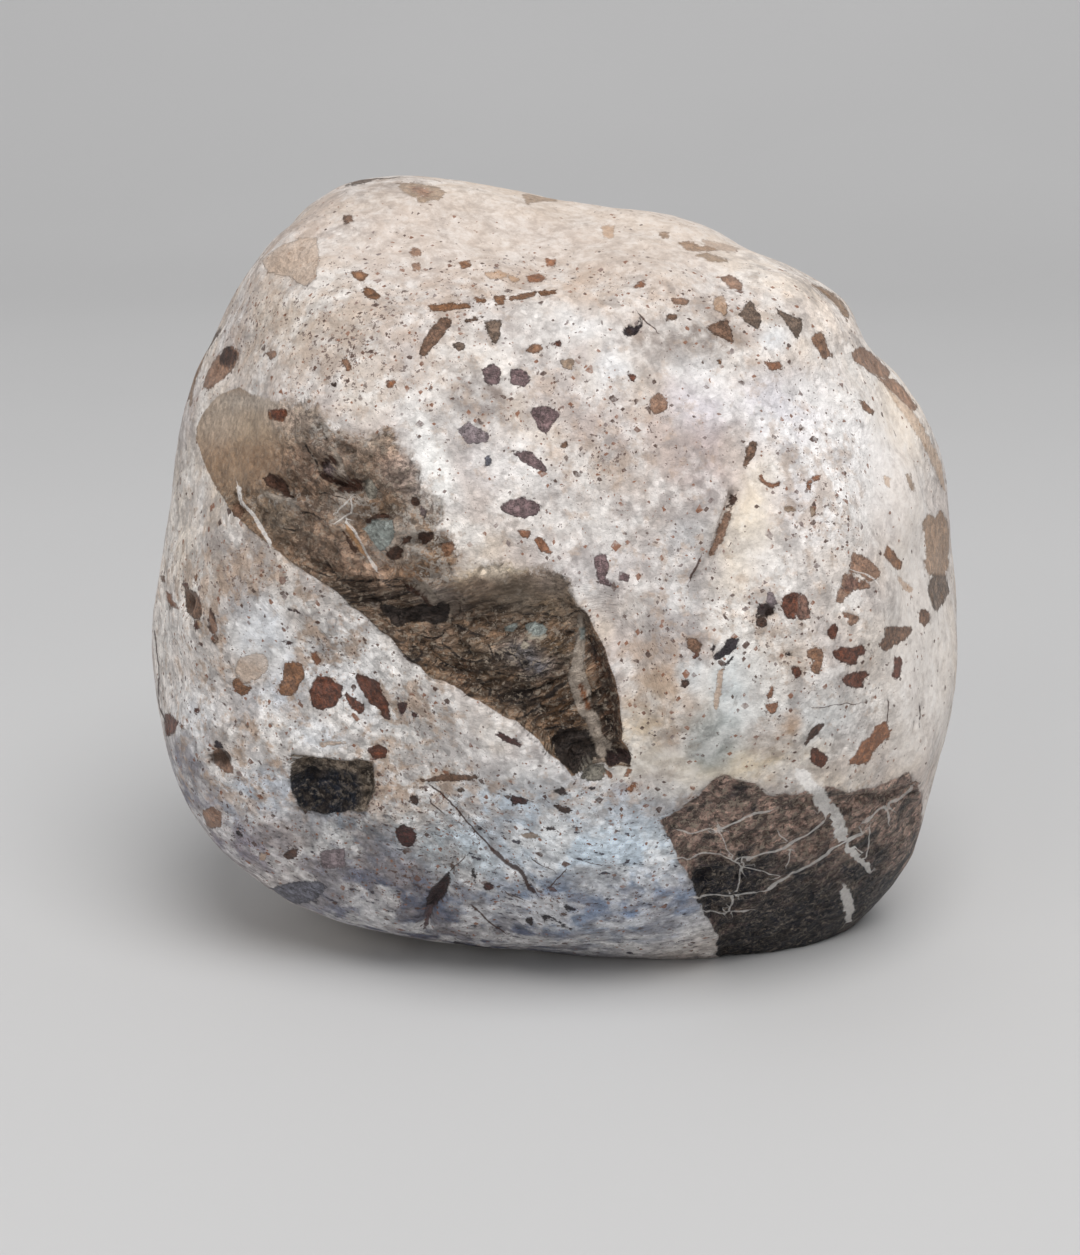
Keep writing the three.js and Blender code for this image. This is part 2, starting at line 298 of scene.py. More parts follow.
# the wedge clast, weathered below its matrix: sharp step along one side, slow ramp on the other
wedge = {
    "edge": [
        (-33.2, 7), (-32.6, 6), (-32.2, 5.4), (-31.4, 4.7), (-30.4, 3.7), (-29.2, 2.7), (-27.9, 1.8),
        (-26.6, 0.7), (-25.4, -0.2), (-23.9, -1.1), (-23, -1.7), (-21.9, -2.4), (-20.9, -3.3),
        (-20.4, -4), (-19.6, -4.4), (-18.8, -5), (-18, -5.8), (-17.2, -6.6), (-16.4, -7), (-15.7, -7.9),
        (-15, -8.8), (-14.3, -9.5), (-13.4, -9.9), (-12.9, -10.7), (-12, -11.3), (-11.1, -11.4),
        (-10.2, -11.9), (-9.3, -12.3), (-8.6, -13), (-7.6, -13.4), (-6.7, -13.9), (-5.7, -14.6),
        (-4.6, -15.2), (-3.8, -15.4), (-3, -16.1), (-1.9, -17), (-1.3, -17.5), (-0.9, -18.3),
        (-0.1, -19), (0.8, -19.6), (1.4, -20.4), (1.9, -21), (2.7, -20.5), (3.6, -19.9), (5.1, -19.5),
        (5.6, -20.2), (6.6, -19.8), (7.7, -20.1), (7.8, -18.8), (7.4, -18), (6.8, -17.4), (6.9, -16.3),
        (6.7, -14.8), (6.6, -13.3), (6.3, -12), (6, -10.8), (5.5, -9.6), (5.2, -8.3), (4.7, -7.3),
        (4.1, -6.3), (3.6, -5.1), (3.1, -4.4), (2.4, -3.9),
    ],
    "ramp": [
        (2.4, -3.9), (1.9, -2.7), (1.2, -1.6), (0.2, -0.8), (-0.9, -0.4), (-1.9, 0.1), (-3.2, 0.1),
        (-4.9, -0.1), (-6.4, 0.2), (-7.4, 0.4), (-8.6, 0.1), (-9.4, -0.6), (-10.2, -0.1), (-9.8, 1.1),
        (-9.9, 2.2), (-10.6, 2.9), (-11.3, 3.7), (-11.7, 5.2), (-12.1, 6.7), (-12.6, 7.9), (-13.2, 9.2),
        (-13.6, 10.6), (-14.6, 11.5), (-15.4, 11.7), (-16.2, 12.6), (-17.4, 13.2), (-18.6, 13.3),
        (-19.9, 13.7), (-20.9, 14), (-21.9, 14.2), (-22.9, 14.9), (-23.9, 15.8), (-25.4, 16.2),
        (-26.9, 16.3), (-28.2, 16.5), (-29.2, 16.9), (-30.4, 17.3), (-31.4, 17.9), (-33.2, 17.3),
        (-34.4, 16.2), (-35.3, 15), (-35.8, 13.7), (-35.8, 12.7), (-35.4, 11.5), (-34.8, 9.9),
        (-34, 8.2), (-33.2, 7),
    ],
    "start": (-33, 13),  # blunt end
    "run": (0.76, -0.65),  # towards the tip
    "length": 48.7,
    "stepWidth": 0.7,
    "bluntDepth": 0.7,  # below the matrix at the blunt end,
    "deepening": 1.3,  # more towards the middle,
    "tipRise": 0.5,  # and less again at the tip
    "bowl": (-6.2, -5.2, 8.2, 3),  # smooth hollow: middle and half widths
    "bowlDepth": 2.5,
    "calmBowl": (-4, -2.2, 6, 2.1),  # where it is less broken
    "calmest": 0.8,
    "roughness": 0.85,  # height of the broken surface in it
    "tone": (143, 115, 91),
    # painted shade laid into the low parts of its broken surface
    "hollowShadeTone": (55, 43, 34),
    "fading": 1.3,  # how wide its colour fades out up the ramp
}

# clasts worn lower than the matrix
block = {
    "outline": [
        (-26.3, -18.8), (-22, -19.3), (-18.1, -19.6), (-18, -22.3), (-18.9, -24.3),
        (-22.4, -24.7), (-25.2, -24.3), (-26.3, -22.8),
    ],
    "depth": 1.3,
    "stepWidth": 0.7,
    # its near-black dark and patch tones are partly its own colour, partly painted shade with a painted blue
    # reflection
    "dark": (22, 24, 32),
    "patch": (40, 44, 54),  # tone of slow patches in its dark part
    "light": (112, 99, 86),
    "lightFrom": -21.8,  # lighter above this height
    "lightRun": 2.4,
    "lightRight": -20.6,  # and right of here
    "harsh": 1.2,  # how strongly it is flaked
    "rim": 1.3,  # and this near to its rim
}
veined = {
    "outline": [
        (10.5, -25.3), (12.6, -24.3), (14.8, -22.5), (15.8, -21.3), (17.1, -20.7), (19.1, -21.3),
        (21.6, -22.8), (24.6, -22.7), (26.6, -22), (29.6, -22.3), (32.1, -22), (34.6, -21),
        (35.6, -20.5), (36.4, -21.6), (36.9, -24), (37, -26.6), (36.8, -29), (37.6, -31), (35.4, -34.4),
        (32.6, -37.2), (30.2, -38.6), (26, -40), (22.1, -40.8), (18.8, -41.4),
        (16.8, -41.2), (16.3, -36.8), (14.8, -34.3), (14.1, -32.3), (12.6, -29.3),
    ],
    "depth": 0.5,
    "stepWidth": 1,
    # its dark lower part, nearly black and bluish, is partly its own colour, partly painted shade and
    # painted blue reflection, as that part faces down
    "dark": (7, 8, 22),
    "patch": (76, 56, 52),
    "light": (152, 126, 114),
    "lightFrom": -33.4,
    "lightRun": 8.4,
    "lightRight": 60,
    "harsh": 1.15,
    "rim": 0.5,
}
clastRoughness = 0.3  # height of the broken surface in these two


def wedgeShape(x, y):
    # depth of the wedge clast below the matrix: full at the sharp edge, none at the ramp, and a bowl
    sign = outlineDistance(wedge["edge"] + wedge["ramp"][1:-1], x, y)
    toEdge, _ = lineDistance(wedge["edge"], x, y)
    toRamp, _ = lineDistance(wedge["ramp"], x, y)
    (startX, startY), (runX, runY) = wedge["start"], wedge["run"]
    along = ((x - startX) * runX + (y - startY) * runY) / wedge["length"]
    full = wedge["bluntDepth"] + wedge["deepening"] * ease((along - 0.12) / 0.35)
    full -= wedge["tipRise"] * ease((along - 0.7) / 0.3)
    bowl = wedge["bowlDepth"] * bell(x, y, *wedge["bowl"]) * ease(toRamp / 1.5)
    depth = full * (toRamp / (toRamp + toEdge + 1e-9)) ** 0.8 + bowl
    depth = np.where(sign < 0, depth * ease((toEdge - 0.05) / wedge["stepWidth"]), 0)
    return depth, sign, toEdge, toRamp


def wedgeFlow(local):
    # coordinates along the flakes of the wedge, squeezed lengthways; a flake's line is
    # up = 0.02 t^2 - 0.14 t with t = across + 15
    t = np.clip(local[:, 0], -36, 8) + 15
    over = local[:, 1] + 0.14 * t - 0.02 * t * t
    return np.column_stack([local[:, 0] * 0.45, over, local[:, 2]])


def wedgeBreakage(local, x, y, sign):
    # broken surface inside the wedge: steps of a saw along its lower part, lumps in its upper part,
    # calmer in the smooth bowl and the blunt end. Returns the height, its share 0 to 1, and the calm
    flow = wedgeFlow(local)
    saw = (flow[:, 1] / 1.5 + 0.9 * grain(flow, 1.9, 11, 2)) % 1
    layered = 0.6 * saw + 0.5 * ridges(flow, 1.1, 12, 2)
    lumpy = 0.6 * ridges(flow, 2, 14, 2) + 0.45 * ridges(local, 1.3, 15, 2)
    lower = ease((-y - 2) / 4)
    broken = lower * layered + (1 - lower) * lumpy
    broken += 0.3 * grain(local, 3.8, 13, 2)
    blunt = ease((-26 - x) / 3) * ease((y - 7) / 2)
    calm = wedge["calmest"] * bell(x, y, *wedge["calmBowl"]) + wedge["calmest"] * blunt
    calm = np.clip(calm, 0, 0.9)
    share = np.clip(broken, 0, 1)
    return wedge["roughness"] * (1 - calm) * ease(-sign / 0.6) * (broken - 0.6), share, calm


# chips grown into the matrix: their colours, sRGB 0 to 255
tones = {
    "taupe": (171, 143, 117), "grey": (114, 114, 124), "tan": (225, 187, 151), "umber": (129, 98, 78),
    "brown": (150, 110, 83), "rust": (154, 100, 65), "chestnut": (109, 61, 41), "bark": (78, 52, 40),
    "slate": (124, 104, 89), "plum": (125, 102, 103), "mauve": (149, 134, 137), "ink": (42, 30, 39),
    "pit": (53, 36, 35), "bone": (190, 178, 160), "lilac": (122, 106, 104), "greyBlue": (156, 163, 158),
    "rustTan": (201, 156, 114), "lumpGrey": (138, 132, 120), "strip": (180, 166, 152),
    "clay": (160, 121, 96), "cocoa": (110, 63, 45), "maroon": (77, 39, 33), "sienna": (143, 100, 68),
    "olive": (91, 63, 50), "dusk": (133, 98, 84), "khaki": (166, 132, 103), "fawn": (192, 163, 140),
    "buff": (223, 195, 171), "soot": (58, 50, 46),
}

# each chip on the broad face: tone, then its outline
chips = [
    "rustTan 46,339 59,341 59,327 50,327",
    "khaki 104,333 114,333 115,327 106,328",
    "brown 254,229 268,236 274,217 279,210 268,207 263,218",
    "slate 221,257 249,246 243,226 229,247",
    "slate 195,268 206,249 205,236 183,250",
    "umber 150,240 173,247 181,222 158,233",
    "rust 79,278 88,287 92,279",
    "rust -28,290 -14,292 -8,288 -19,283 -27,284",
    "rustTan -46,291 -34,289 -36,284 -45,285",
    "rust -7,305 2,304 -1,298",
    "umber -90,246 -71,251 -70,248 -86,243",
    "slate -70,244 -52,247 -54,229 -60,221 -64,229",
    "slate -102,222 -92,225 -87,219 -97,215",
    "brown -28,214 -22,222 -14,224 -11,217 -20,212",
    "chestnut -6,223 6,225 7,220 -4,220",
    "taupe 6,206 20,208 17,196 9,198",
    "plum -72,197 -61,203 -53,197 -55,181 -63,181 -70,186",
    "plum -45,184 -42,198 -30,196 -23,187 -30,179 -40,181",
    "plum -23,153 -20,160 -6,161 6,153 0,143 -8,132 -15,137",
    "mauve -97,137 -84,144 -64,131 -68,125 -87,123",
    "plum -42,115 -24,115 -9,102 -7,94 -19,97 -30,104",
    "plum -55,59 -44,67 -29,69 -13,62 -16,53 -30,48 -46,52",
    "rust -36,37 -23,36 -25,27 -32,30",
    "rust -21,28 -13,31 -1,15 -2,11 -13,16",
    "plum 39,11 52,14 56,1 52,-11 58,-19 46,-18 42,-5",
    "plum 64,-5 76,-8 74,-15 65,-13",
    "grey -69,112 -64,112 -63,100 -69,101",
    "umber 6,124 13,126 14,118 7,117",
    "clay 96,169 106,173 114,165 112,156 101,153 95,159",
    "rust 210,205 228,204 227,197 216,196",
    "sienna 162,206 168,208 168,201",
    "olive 176,203 182,203 181,199",
    "cocoa 74,193 83,191 80,185 75,187",
    "sienna 303,167 309,166 319,155 316,152 308,158",
    "clay 166,288 176,291 188,282 186,276 174,278",
    "rustTan 158,267 168,271 174,261 170,251 160,256",
    "clay 116,268 128,269 136,265 130,261 118,263",
    "umber 111,252 123,253 122,246 113,245",
    "rust 252,87 266,93 267,89 257,84 256,76 252,76",
    "rust 203,92 208,90 214,84 220,83 225,86 226,83 220,79 213,80 206,86",
    "ink 68,236 74,241 80,239 86,248 89,246 86,237 80,231 72,229",
    "tan 329,92 336,89 336,79 331,82",
    "taupe 351,93 355,95 361,76 356,77",
    "taupe 229,60 241,60 241,56 230,56",
    "taupe 256,60 262,59 261,49 256,51",
    "umber -350,178 -342,183 -340,179 -347,175",
    "clay -288,214 -278,216 -276,210 -284,207",
    "brown -213,207 -206,209 -202,197 -207,195",
    "rust -286,155 -274,157 -264,152 -271,144 -284,147",
    "chestnut -188,-182 -176,-178 -166,-182 -168,-191 -180,-193",
    "tan -234,-177 -209,-174 -208,-177 -232,-181",
    "maroon -61,-166 -52,-166 -31,-177 -34,-180 -50,-175",
    "umber -141,-214 -124,-212 -113,-208 -96,-208 -72,-209 -76,-212 -94,-215 -114,-215 -129,-216",
    "olive -273,-290 -264,-283 -257,-280 -256,-291 -268,-294",
    "clay -354,-245 -342,-241 -332,-248 -334,-261 -346,-263",
    "pit -318,-266 -312,-265 -311,-271 -317,-271",
    "tan -296,-287 -289,-285 -288,-294 -295,-295",
    "mauve -234,-285 -210,-283 -209,-301 -232,-303",
    "chestnut 320,-21 325,-20 326,-27 322,-28",
    "sienna 332,22 337,21 342,11 348,5 348,-2 342,-3 334,7 330,12",
    "rustTan 339,-7 345,-10 355,-18 360,-23 357,-26 350,-23 346,-15",
    "pit 170,-97 176,-93 179,-90 177,-96 171,-101",
    "rustTan 165,-101 170,-105 168,-119 166,-133 162,-145 160,-135 163,-119",
    "pit 157,-81 161,-78 161,-83 158,-84",
    "umber 133,-70 142,-72 148,-78 146,-87 140,-85 134,-81",
    "cocoa 140,-87 143,-83 145,-89 143,-92 139,-91",
    "bark 128,-113 134,-113 136,-117 131,-121 127,-119",
    "rust 215,-125 218,-117 220,-123 219,-131 214,-132",
    "rust 211,-137 225,-135 223,-144 218,-148 213,-142",
    "chestnut 274,-63 279,-57 284,-57 284,-69 281,-73 275,-71",
    "clay 287,-44 296,-48 306,-49 303,-56 296,-58 292,-55 294,-51",
    "pit 230,-86 236,-84 238,-88 232,-90",
    "umber -394,-10 -390,-8 -389,-16 -393,-15",
    "rust -389,-25 -382,-27 -384,-31 -378,-37 -375,-43 -382,-41 -388,-33",
    "cocoa -376,-13 -368,-16 -364,-21 -372,-19",
    "cocoa -361,-57 -355,-54 -354,-61 -359,-64",
    "olive -348,-45 -344,-41 -339,-51 -342,-53",
    "olive -345,-57 -339,-55 -340,-65 -344,-67 -347,-62",
    "umber -342,-73 -336,-70 -336,-75 -340,-78",
    "sienna -360,-8 -356,-5 -357,-13 -359,-17",
    "maroon -273,-75 -266,-74 -260,-76 -266,-78",
    "maroon -376,-155 -368,-160 -362,-158 -364,-162 -374,-161",
    "cocoa -360,-143 -355,-139 -356,-147 -359,-151",
    "maroon -266,-43 -259,-42 -251,-49 -258,-46",
    "bark -143,-229 -136,-230 -134,-234 -137,-239 -146,-236",
    "slate -97,-223 -92,-219 -89,-224 -94,-227",
    "maroon -44,-228 -35,-230 -25,-233 -28,-238 -37,-237 -40,-240",
    "pit -2,-225 6,-222 8,-219 12,-224 17,-229 8,-228 2,-227",
    "bark 0,-238 6,-239 14,-241 20,-244 14,-248 6,-245",
    "ink 36,-221 43,-220 40,-223",
    "pit -81,-302 -77,-306 -79,-317 -82,-315",
    "maroon -70,-317 -66,-316 -58,-321 -63,-325 -69,-324",
    "pit -29,-355 -22,-349 -20,-357 -23,-361",
    "ink -15,-349 -6,-350 3,-352 -8,-354",
    "ink 8,-337 16,-340 27,-345 18,-346 10,-342",
    "ink 4,-355 12,-359 20,-364 9,-362",
    "taupe -33,-268 -24,-266 -13,-269 -20,-272 -31,-272",
    "pit -9,-262 -1,-260 5,-264 -4,-265",
    "plum -7,-321 2,-320 4,-326 -4,-325",
    "grey -292,-325 -264,-317 -236,-315 -227,-322 -242,-336 -258,-339 -276,-333",
    "sienna -270,-96 -262,-95 -252,-96 -249,-108 -256,-121 -261,-129 -276,-129 -275,-120 -271,-110",
    "chestnut -236,-109 -224,-111 -212,-120 -212,-130 -221,-140 -231,-144 -242,-140 -245,-128 -242,-116",
    "rust -244,-85 -237,-86 -234,-95 -237,-100 -242,-93",
    "chestnut -197,-107 -184,-111 -174,-116 -172,-126 -167,-133 -165,-140 -164,-153 -171,-150 -176,-141 "
    "-186,-136 -191,-126 -196,-118 -199,-111",
    "chestnut -209,-126 -201,-131 -191,-138 -189,-145 -194,-148 -201,-143 -207,-136",
    "maroon -157,-136 -147,-135 -147,-143 -151,-149 -157,-143",
    "maroon -142,-145 -137,-145 -136,-151 -141,-151",
    "sienna -322,-113 -316,-110 -309,-120 -299,-116 -307,-128 -314,-130 -321,-121",
    "buff -320,-105 -316,-93 -306,-88 -292,-87 -286,-95 -288,-107 -298,-113 -310,-117",
    "clay 299,16 308,11 319,5 327,-5 325,-11 316,-14 306,-8 299,-5 295,-4 297,5",
    "clay 291,-6 299,-7 307,-12 317,-17 316,-20 303,-23 294,-28 288,-36 283,-36 283,-28 286,-20 288,-13",
    "dusk 292,-11 299,-10 308,-16 304,-21 294,-23 288,-21",
    "chestnut 229,-30 236,-26 245,-25 247,-37 244,-45 240,-52 232,-50 228,-41",
    "dusk 245,-25 253,-29 255,-39 257,-51 250,-53 242,-51 245,-39",
    "pit 204,-39 208,-36 216,-36 222,-41 218,-48 210,-49 203,-47",
    "mauve 215,-23 220,-27 223,-36 218,-39 212,-36",
    "bark 203,-48 214,-51 212,-59 206,-62 202,-57",
    "umber 331,-60 359,-59 358,-66 351,-73 341,-78 333,-84 323,-80 326,-76 331,-71",
    "chestnut 279,-83 289,-80 298,-81 303,-78 309,-78 313,-83 311,-88 304,-89 303,-97 296,-98 286,-94 "
    "280,-90",
    "cocoa 294,-106 306,-104 316,-105 314,-110 309,-113 310,-120 303,-122 293,-118 288,-113",
    "cocoa 340,-90 348,-89 349,-97 346,-110 341,-113 338,-109 341,-100",
    "brown 253,-83 261,-79 269,-83 270,-96 266,-105 259,-108 256,-101 261,-93 253,-90",
    "chestnut 238,-100 246,-99 248,-108 242,-111",
    "ink 176,-71 186,-71 184,-80 178,-86 169,-90 160,-94 160,-89 168,-83 171,-76",
    "olive 250,-178 256,-166 264,-156 271,-156 270,-161 261,-170 253,-179",
    "chestnut 259,-178 264,-182 276,-190 274,-196 268,-201 258,-196 257,-186",
    "rust 321,-158 334,-154 338,-168 329,-176 319,-186 316,-196 299,-198 293,-196 303,-186 308,-175 "
    "319,-168",
    "khaki 368,45 374,55 380,49 386,57 393,47 397,27 398,11 394,-3 387,-9 380,-5 375,-10 371,1 372,19",
    "slate 376,-11 384,-7 392,-9 396,-23 390,-35 383,-45 378,-37 374,-25",
    "umber 364,-45 371,-41 376,-45 375,-55 370,-60 365,-55",
    "maroon -159,-263 -152,-259 -142,-261 -137,-269 -140,-278 -148,-282 -156,-276",
    "pit -104,-305 -104,-317 -108,-329 -116,-337 -126,-342 -128,-334 -123,-323 -114,-314",
    "plum -126,-340 -118,-338 -123,-348 -126,-361 -130,-363 -130,-349",
    "umber -135,210 -132,222 -124,237 -114,247 -104,250 -102,245 -108,235 -118,222 -130,209",
    "sienna -126,262 -114,261 -102,263 -84,262 -83,258 -99,256 -114,255 -126,255",
    "sienna -81,269 -74,268 -68,270 -69,264 -78,263",
    "sienna -61,270 -49,271 -50,262 -59,261",
    "sienna -46,269 -34,272 -20,274 -19,270 -32,267 -44,265",
    "sienna -16,275 2,276 3,272 -13,270",
    "clay -351,178 -348,190 -340,205 -331,217 -322,220 -314,215 -316,205 -324,194 -334,185 -345,178",
    "bark -333,216 -323,220 -315,215 -318,204 -328,197 -335,201",
    "khaki -366,163 -363,182 -356,202 -348,222 -345,220 -353,199 -360,179 -363,159",
    "slate -349,217 -340,231 -333,239 -331,236 -340,225 -347,214",
    "buff -292,305 -279,317 -254,327 -237,328 -235,312 -238,287 -249,279 -264,289 -286,293",
    "taupe -157,381 -142,383 -117,379 -108,373 -114,365 -124,366 -133,361 -139,368 -146,371 -154,375",
    "clay -144,379 -129,378 -122,373 -128,367 -136,370",
    "taupe -32,371 -14,373 4,371 2,364 -18,364 -27,361",
    "slate -209,379 -198,386 -184,391 -166,394 -150,392 -156,387 -176,386 -194,381",
    "khaki 124,323 136,325 144,320 158,320 162,316 146,314 130,316",
    "fawn 146,327 166,323 184,317 182,313 162,317 150,321",
    "taupe 140,311 152,313 168,308 174,304 158,304",
    "khaki 255,282 266,279 278,273 288,264 294,253 293,243 288,251 280,263 268,273",
    "clay 296,215 306,220 318,213 326,205 336,193 332,187 320,191 308,199 299,206",
    "clay 320,193 332,187 339,189 352,175 363,159 358,155 346,167 332,179",
    "tan 332,179 346,167 360,153 376,127 388,101 396,75 390,75 380,99 366,127 350,151 338,167",
    "brown 304,168 310,165 320,156 317,151 308,158",
    "sienna -191,278 -184,279 -173,270 -176,265 -188,268",
    "sienna -203,294 -194,296 -186,291 -190,284 -200,287",
    "bark -369,-25 -364,-27 -361,-33 -362,-40 -366,-43 -369,-37",
    "umber -370,-21 -357,-27 -353,-39 -353,-52 -359,-53 -368,-45",
    "tan -357,-55 -352,-53 -352,-61 -356,-61",
    "clay -346,-45 -341,-51 -336,-63 -340,-69 -345,-57",
    "bark 171,59 177,72 184,78 183,67 177,59",
    "clay 158,11 154,13 160,27 166,43 172,55 175,51 168,27",
    "clay 168,47 174,60 178,59 175,45 169,27",
    "umber 192,119 198,127 203,124 201,113 196,105 192,97 189,101 191,110",
    "ink -341,-177 -337,-172 -333,-178 -332,-183 -338,-185",
    "clay -343,-183 -332,-183 -325,-193 -320,-209 -328,-207 -339,-199",
    "chestnut -396,-149 -386,-147 -376,-155 -379,-166 -387,-171 -393,-163",
    "sienna -376,-157 -367,-160 -363,-158 -364,-162 -374,-163",
    "ink -101,-376 -84,-379 -62,-382 -64,-386 -84,-384 -99,-381",
    "umber -211,350 -202,351 -200,344 -209,342",
    "clay -144,317 -134,318 -132,311 -142,309",
    "clay -142,302 -134,303 -133,295 -141,294",
    "sienna -95,304 -86,306 -82,300 -92,296",
    "rustTan -70,293 -56,296 -47,292 -54,286 -66,287",
    "rust -10,307 2,308 0,300 -8,299",
    "olive -224,182 -218,184 -218,179",
    "rust -168,185 -158,186 -160,179 -166,179",
]

# pieces standing out inside the wedge clast: tone, rise in tenths of a millimetre, outline
wedgeParts = [
    "chestnut 0 -285,157 -272,158 -263,157 -268,151 -274,145 -281,147",
    "bark -6 -292,88 -285,93 -275,90 -267,84 -264,75 -260,67 -268,69 -277,76 -286,80",
    "strip 1 -296,77 -288,75 -278,72 -266,68 -272,65 -286,68",
    "umber 0 -325,59 -314,64 -310,57 -313,46 -321,53",
    "bark -5 -233,104 -227,111 -217,110 -212,103 -217,100 -224,106 -230,101",
    "lilac 3 -232,102 -224,105 -218,97 -223,89 -231,92",
    "strip 2 -225,121 -218,117 -213,107 -209,97 -212,89 -219,91 -215,101 -221,112",
    "bark -6 -236,96 -224,90 -209,87 -194,90 -192,84 -209,80 -224,84 -234,89",
    "olive -4 -223,75 -206,83 -192,84 -191,77 -204,72 -211,71 -202,78 -214,74",
    "greyBlue 2 -191,39 -182,46 -162,47 -159,34 -164,21 -173,15 -178,20 -184,28",
    "olive -3 -189,46 -176,53 -162,53 -161,48 -180,47 -188,41",
    "rustTan 2 -210,45 -204,41 -192,21 -187,11 -191,9 -200,24 -207,35",
    "olive -3 -214,39 -207,33 -200,22 -193,11 -197,11 -205,21",
    "lumpGrey 2 -188,89 -182,87 -176,77 -178,68 -185,66 -189,77",
    "olive -5 -169,13 -160,21 -151,17 -153,9 -162,6",
    "olive -4 -144,69 -136,69 -134,62 -142,61",
    "lilac 0 -133,61 -127,57 -129,48 -135,52",
    "bark -2 -136,34 -120,35 -121,27 -130,22 -136,29",
    "brown 0 -112,24 -101,25 -98,18 -107,9 -113,17",
    "olive -4 -152,29 -142,31 -144,24 -151,23",
    "soot -8 -176,-34 -166,-38 -154,-41 -142,-40 -129,-36 -120,-40 -112,-34 -104,-39 -105,-53 -118,-58 "
    "-134,-54 -146,-55 -154,-62 -162,-59 -166,-50 -174,-43",
    "strip 1 -139,-17 -130,-15 -121,-25 -116,-33 -120,-39 -128,-30 -136,-23",
    "olive -5 -152,-13 -144,-19 -134,-25 -126,-33 -118,-42 -125,-39 -136,-29 -146,-24",
    "greyBlue -2 -51,-60 -42,-57 -34,-58 -40,-64 -48,-65",
    "greyBlue 0 -28,-57 -19,-54 -8,-59 -5,-65 -14,-69 -22,-68 -27,-63",
    "bone 1 -30,-67 -24,-72 -14,-74 -5,-70 -8,-67 -16,-70 -24,-67",
    "bone 2 -33,-79 -29,-75 -25,-78 -28,-82",
    "bone 2 -54,-37 -51,-34 -50,-38",
    "soot -2 -1,-171 3,-164 8,-160 12,-163 19,-160 26,-164 33,-161 37,-167 42,-172 40,-180 45,-185 "
    "43,-191 36,-193 33,-199 26,-203 23,-208 17,-206 14,-200 7,-198 6,-192 -1,-187 3,-180 -3,-176",
    "strip 1 22,-47 26,-61 23,-73 19,-88 19,-98 13,-108 17,-121 20,-133 24,-145 32,-155 36,-165 40,-175 "
    "42,-185 48,-192 59,-184 57,-175 49,-168 47,-158 44,-148 38,-141 37,-132 38,-123 34,-113 30,-101 "
    "29,-88 33,-74 31,-61 28,-47",
    "rust 0 25,-116 30,-120 34,-133 38,-142 34,-143 29,-133",
    "greyBlue 1 25,-60 31,-60 32,-72 26,-73",
    "bone 2 57,-125 60,-123 63,-127 60,-130",
    "bone 1 50,-142 54,-142 52,-146",
    "lumpGrey -4 29,-205 36,-198 50,-197 53,-205 48,-213 36,-215 28,-211",
    "pit -3 53,-184 68,-181 78,-185 77,-199 68,-195 58,-201 53,-198",
    "rust -1 53,-204 59,-207 58,-213 54,-211",
    "rust -1 74,-201 80,-203 76,-210 69,-212 72,-206",
    "rust -1 80,-216 85,-215 83,-221 76,-226 71,-223 75,-220",
]

# chips of the sides and back, which follow no chart
scattered = {
    "seed": 41,
    "count": 620,
    "smallest": 0.3,
    "largest": 2.6,
    "rarity": 3.2,  # power that makes large ones rare
    "sides": (4, 7),  # least number of sides, and one more than the most
    "boulders": 9,  # large clasts among them
    "boulderSize": (4, 8.5),
    "clear": 38,  # they keep behind the rim by their size over this
    "tones": ["umber", "brown", "rust", "chestnut", "slate", "plum", "tan", "taupe", "bark"],
}
farAway = 9.0  # distance that stands for no chip near


def scatteredChips(local):
    # convex chips of a few straight sides: the largest of the side distances, in the plane they lie in
    random = np.random.default_rng(scattered["seed"])
    distance = np.full(len(local), farAway)
    colours = evenColour(tones["umber"], len(local))
    for number in range(scattered["count"] + scattered["boulders"]):
        middle = random.normal(size=3)
        middle /= np.linalg.norm(middle)
        big = number < scattered["boulders"]
        low, high = scattered["boulderSize"] if big else (scattered["smallest"], scattered["largest"])
        size = low + (high - low) * random.random() ** (1 if big else scattered["rarity"])
        sides = random.integers(*scattered["sides"])
        turns = (np.sort(random.random(sides)) * 0.5 + np.arange(sides) / sides) * 2 * math.pi
        widths = size * (0.55 + 0.6 * random.random(sides))
        squeeze = 0.45 + 0.55 * random.random()
        toneName = scattered["tones"][random.integers(len(scattered["tones"]))]
        if middle[2] > -0.02 - size / scattered["clear"]:
            continue
        centre = middle * cobbleRadius(middle[None])[0]
        near = np.nonzero(((local - centre) ** 2).sum(1) < (size * 2.2 + 1.5) ** 2)[0]
        if not len(near):
            continue
        side = np.cross(middle, [0.3, 0.9, 0.2])
        side /= np.linalg.norm(side)
        offset = local[near] - centre
        a = offset @ side / squeeze
        b = offset @ np.cross(middle, side)
        reach = (np.cos(turns)[:, None] * a + np.sin(turns)[:, None] * b - widths[:, None]).max(0)
        closer = reach < distance[near]
        distance[near[closer]] = reach[closer]
        colours[near[closer]] = linearColour(tones[toneName])
    return distance, colours


def outlineMarks(rows, x, y, front):
    # signed distance to the nearest outline of a list, later ones lying over earlier ones; its tone and rise
    distance = np.full(len(x), farAway)
    colours = evenColour(tones["umber"], len(x))
    rise = np.zeros(len(x))
    margin = 1.2  # mm round an outline where its distance counts
    for row in rows:
        (toneName, *level), outline = readRow(row)
        low, high = outline.min(0) - margin, outline.max(0) + margin
        near = np.nonzero(front & (x > low[0]) & (x < high[0]) & (y > low[1]) & (y < high[1]))[0]
        reach = outlineDistance(outline, x[near], y[near])
        closer = (reach < distance[near]) | (reach < 0)
        distance[near[closer]] = reach[closer]
        colours[near[closer]] = linearColour(tones[toneName])
        if level:
            rise[near] += level[0] / 10 * ease(0.4 - reach / 0.5) * (reach < 0.25)
    return distance, colours, rise


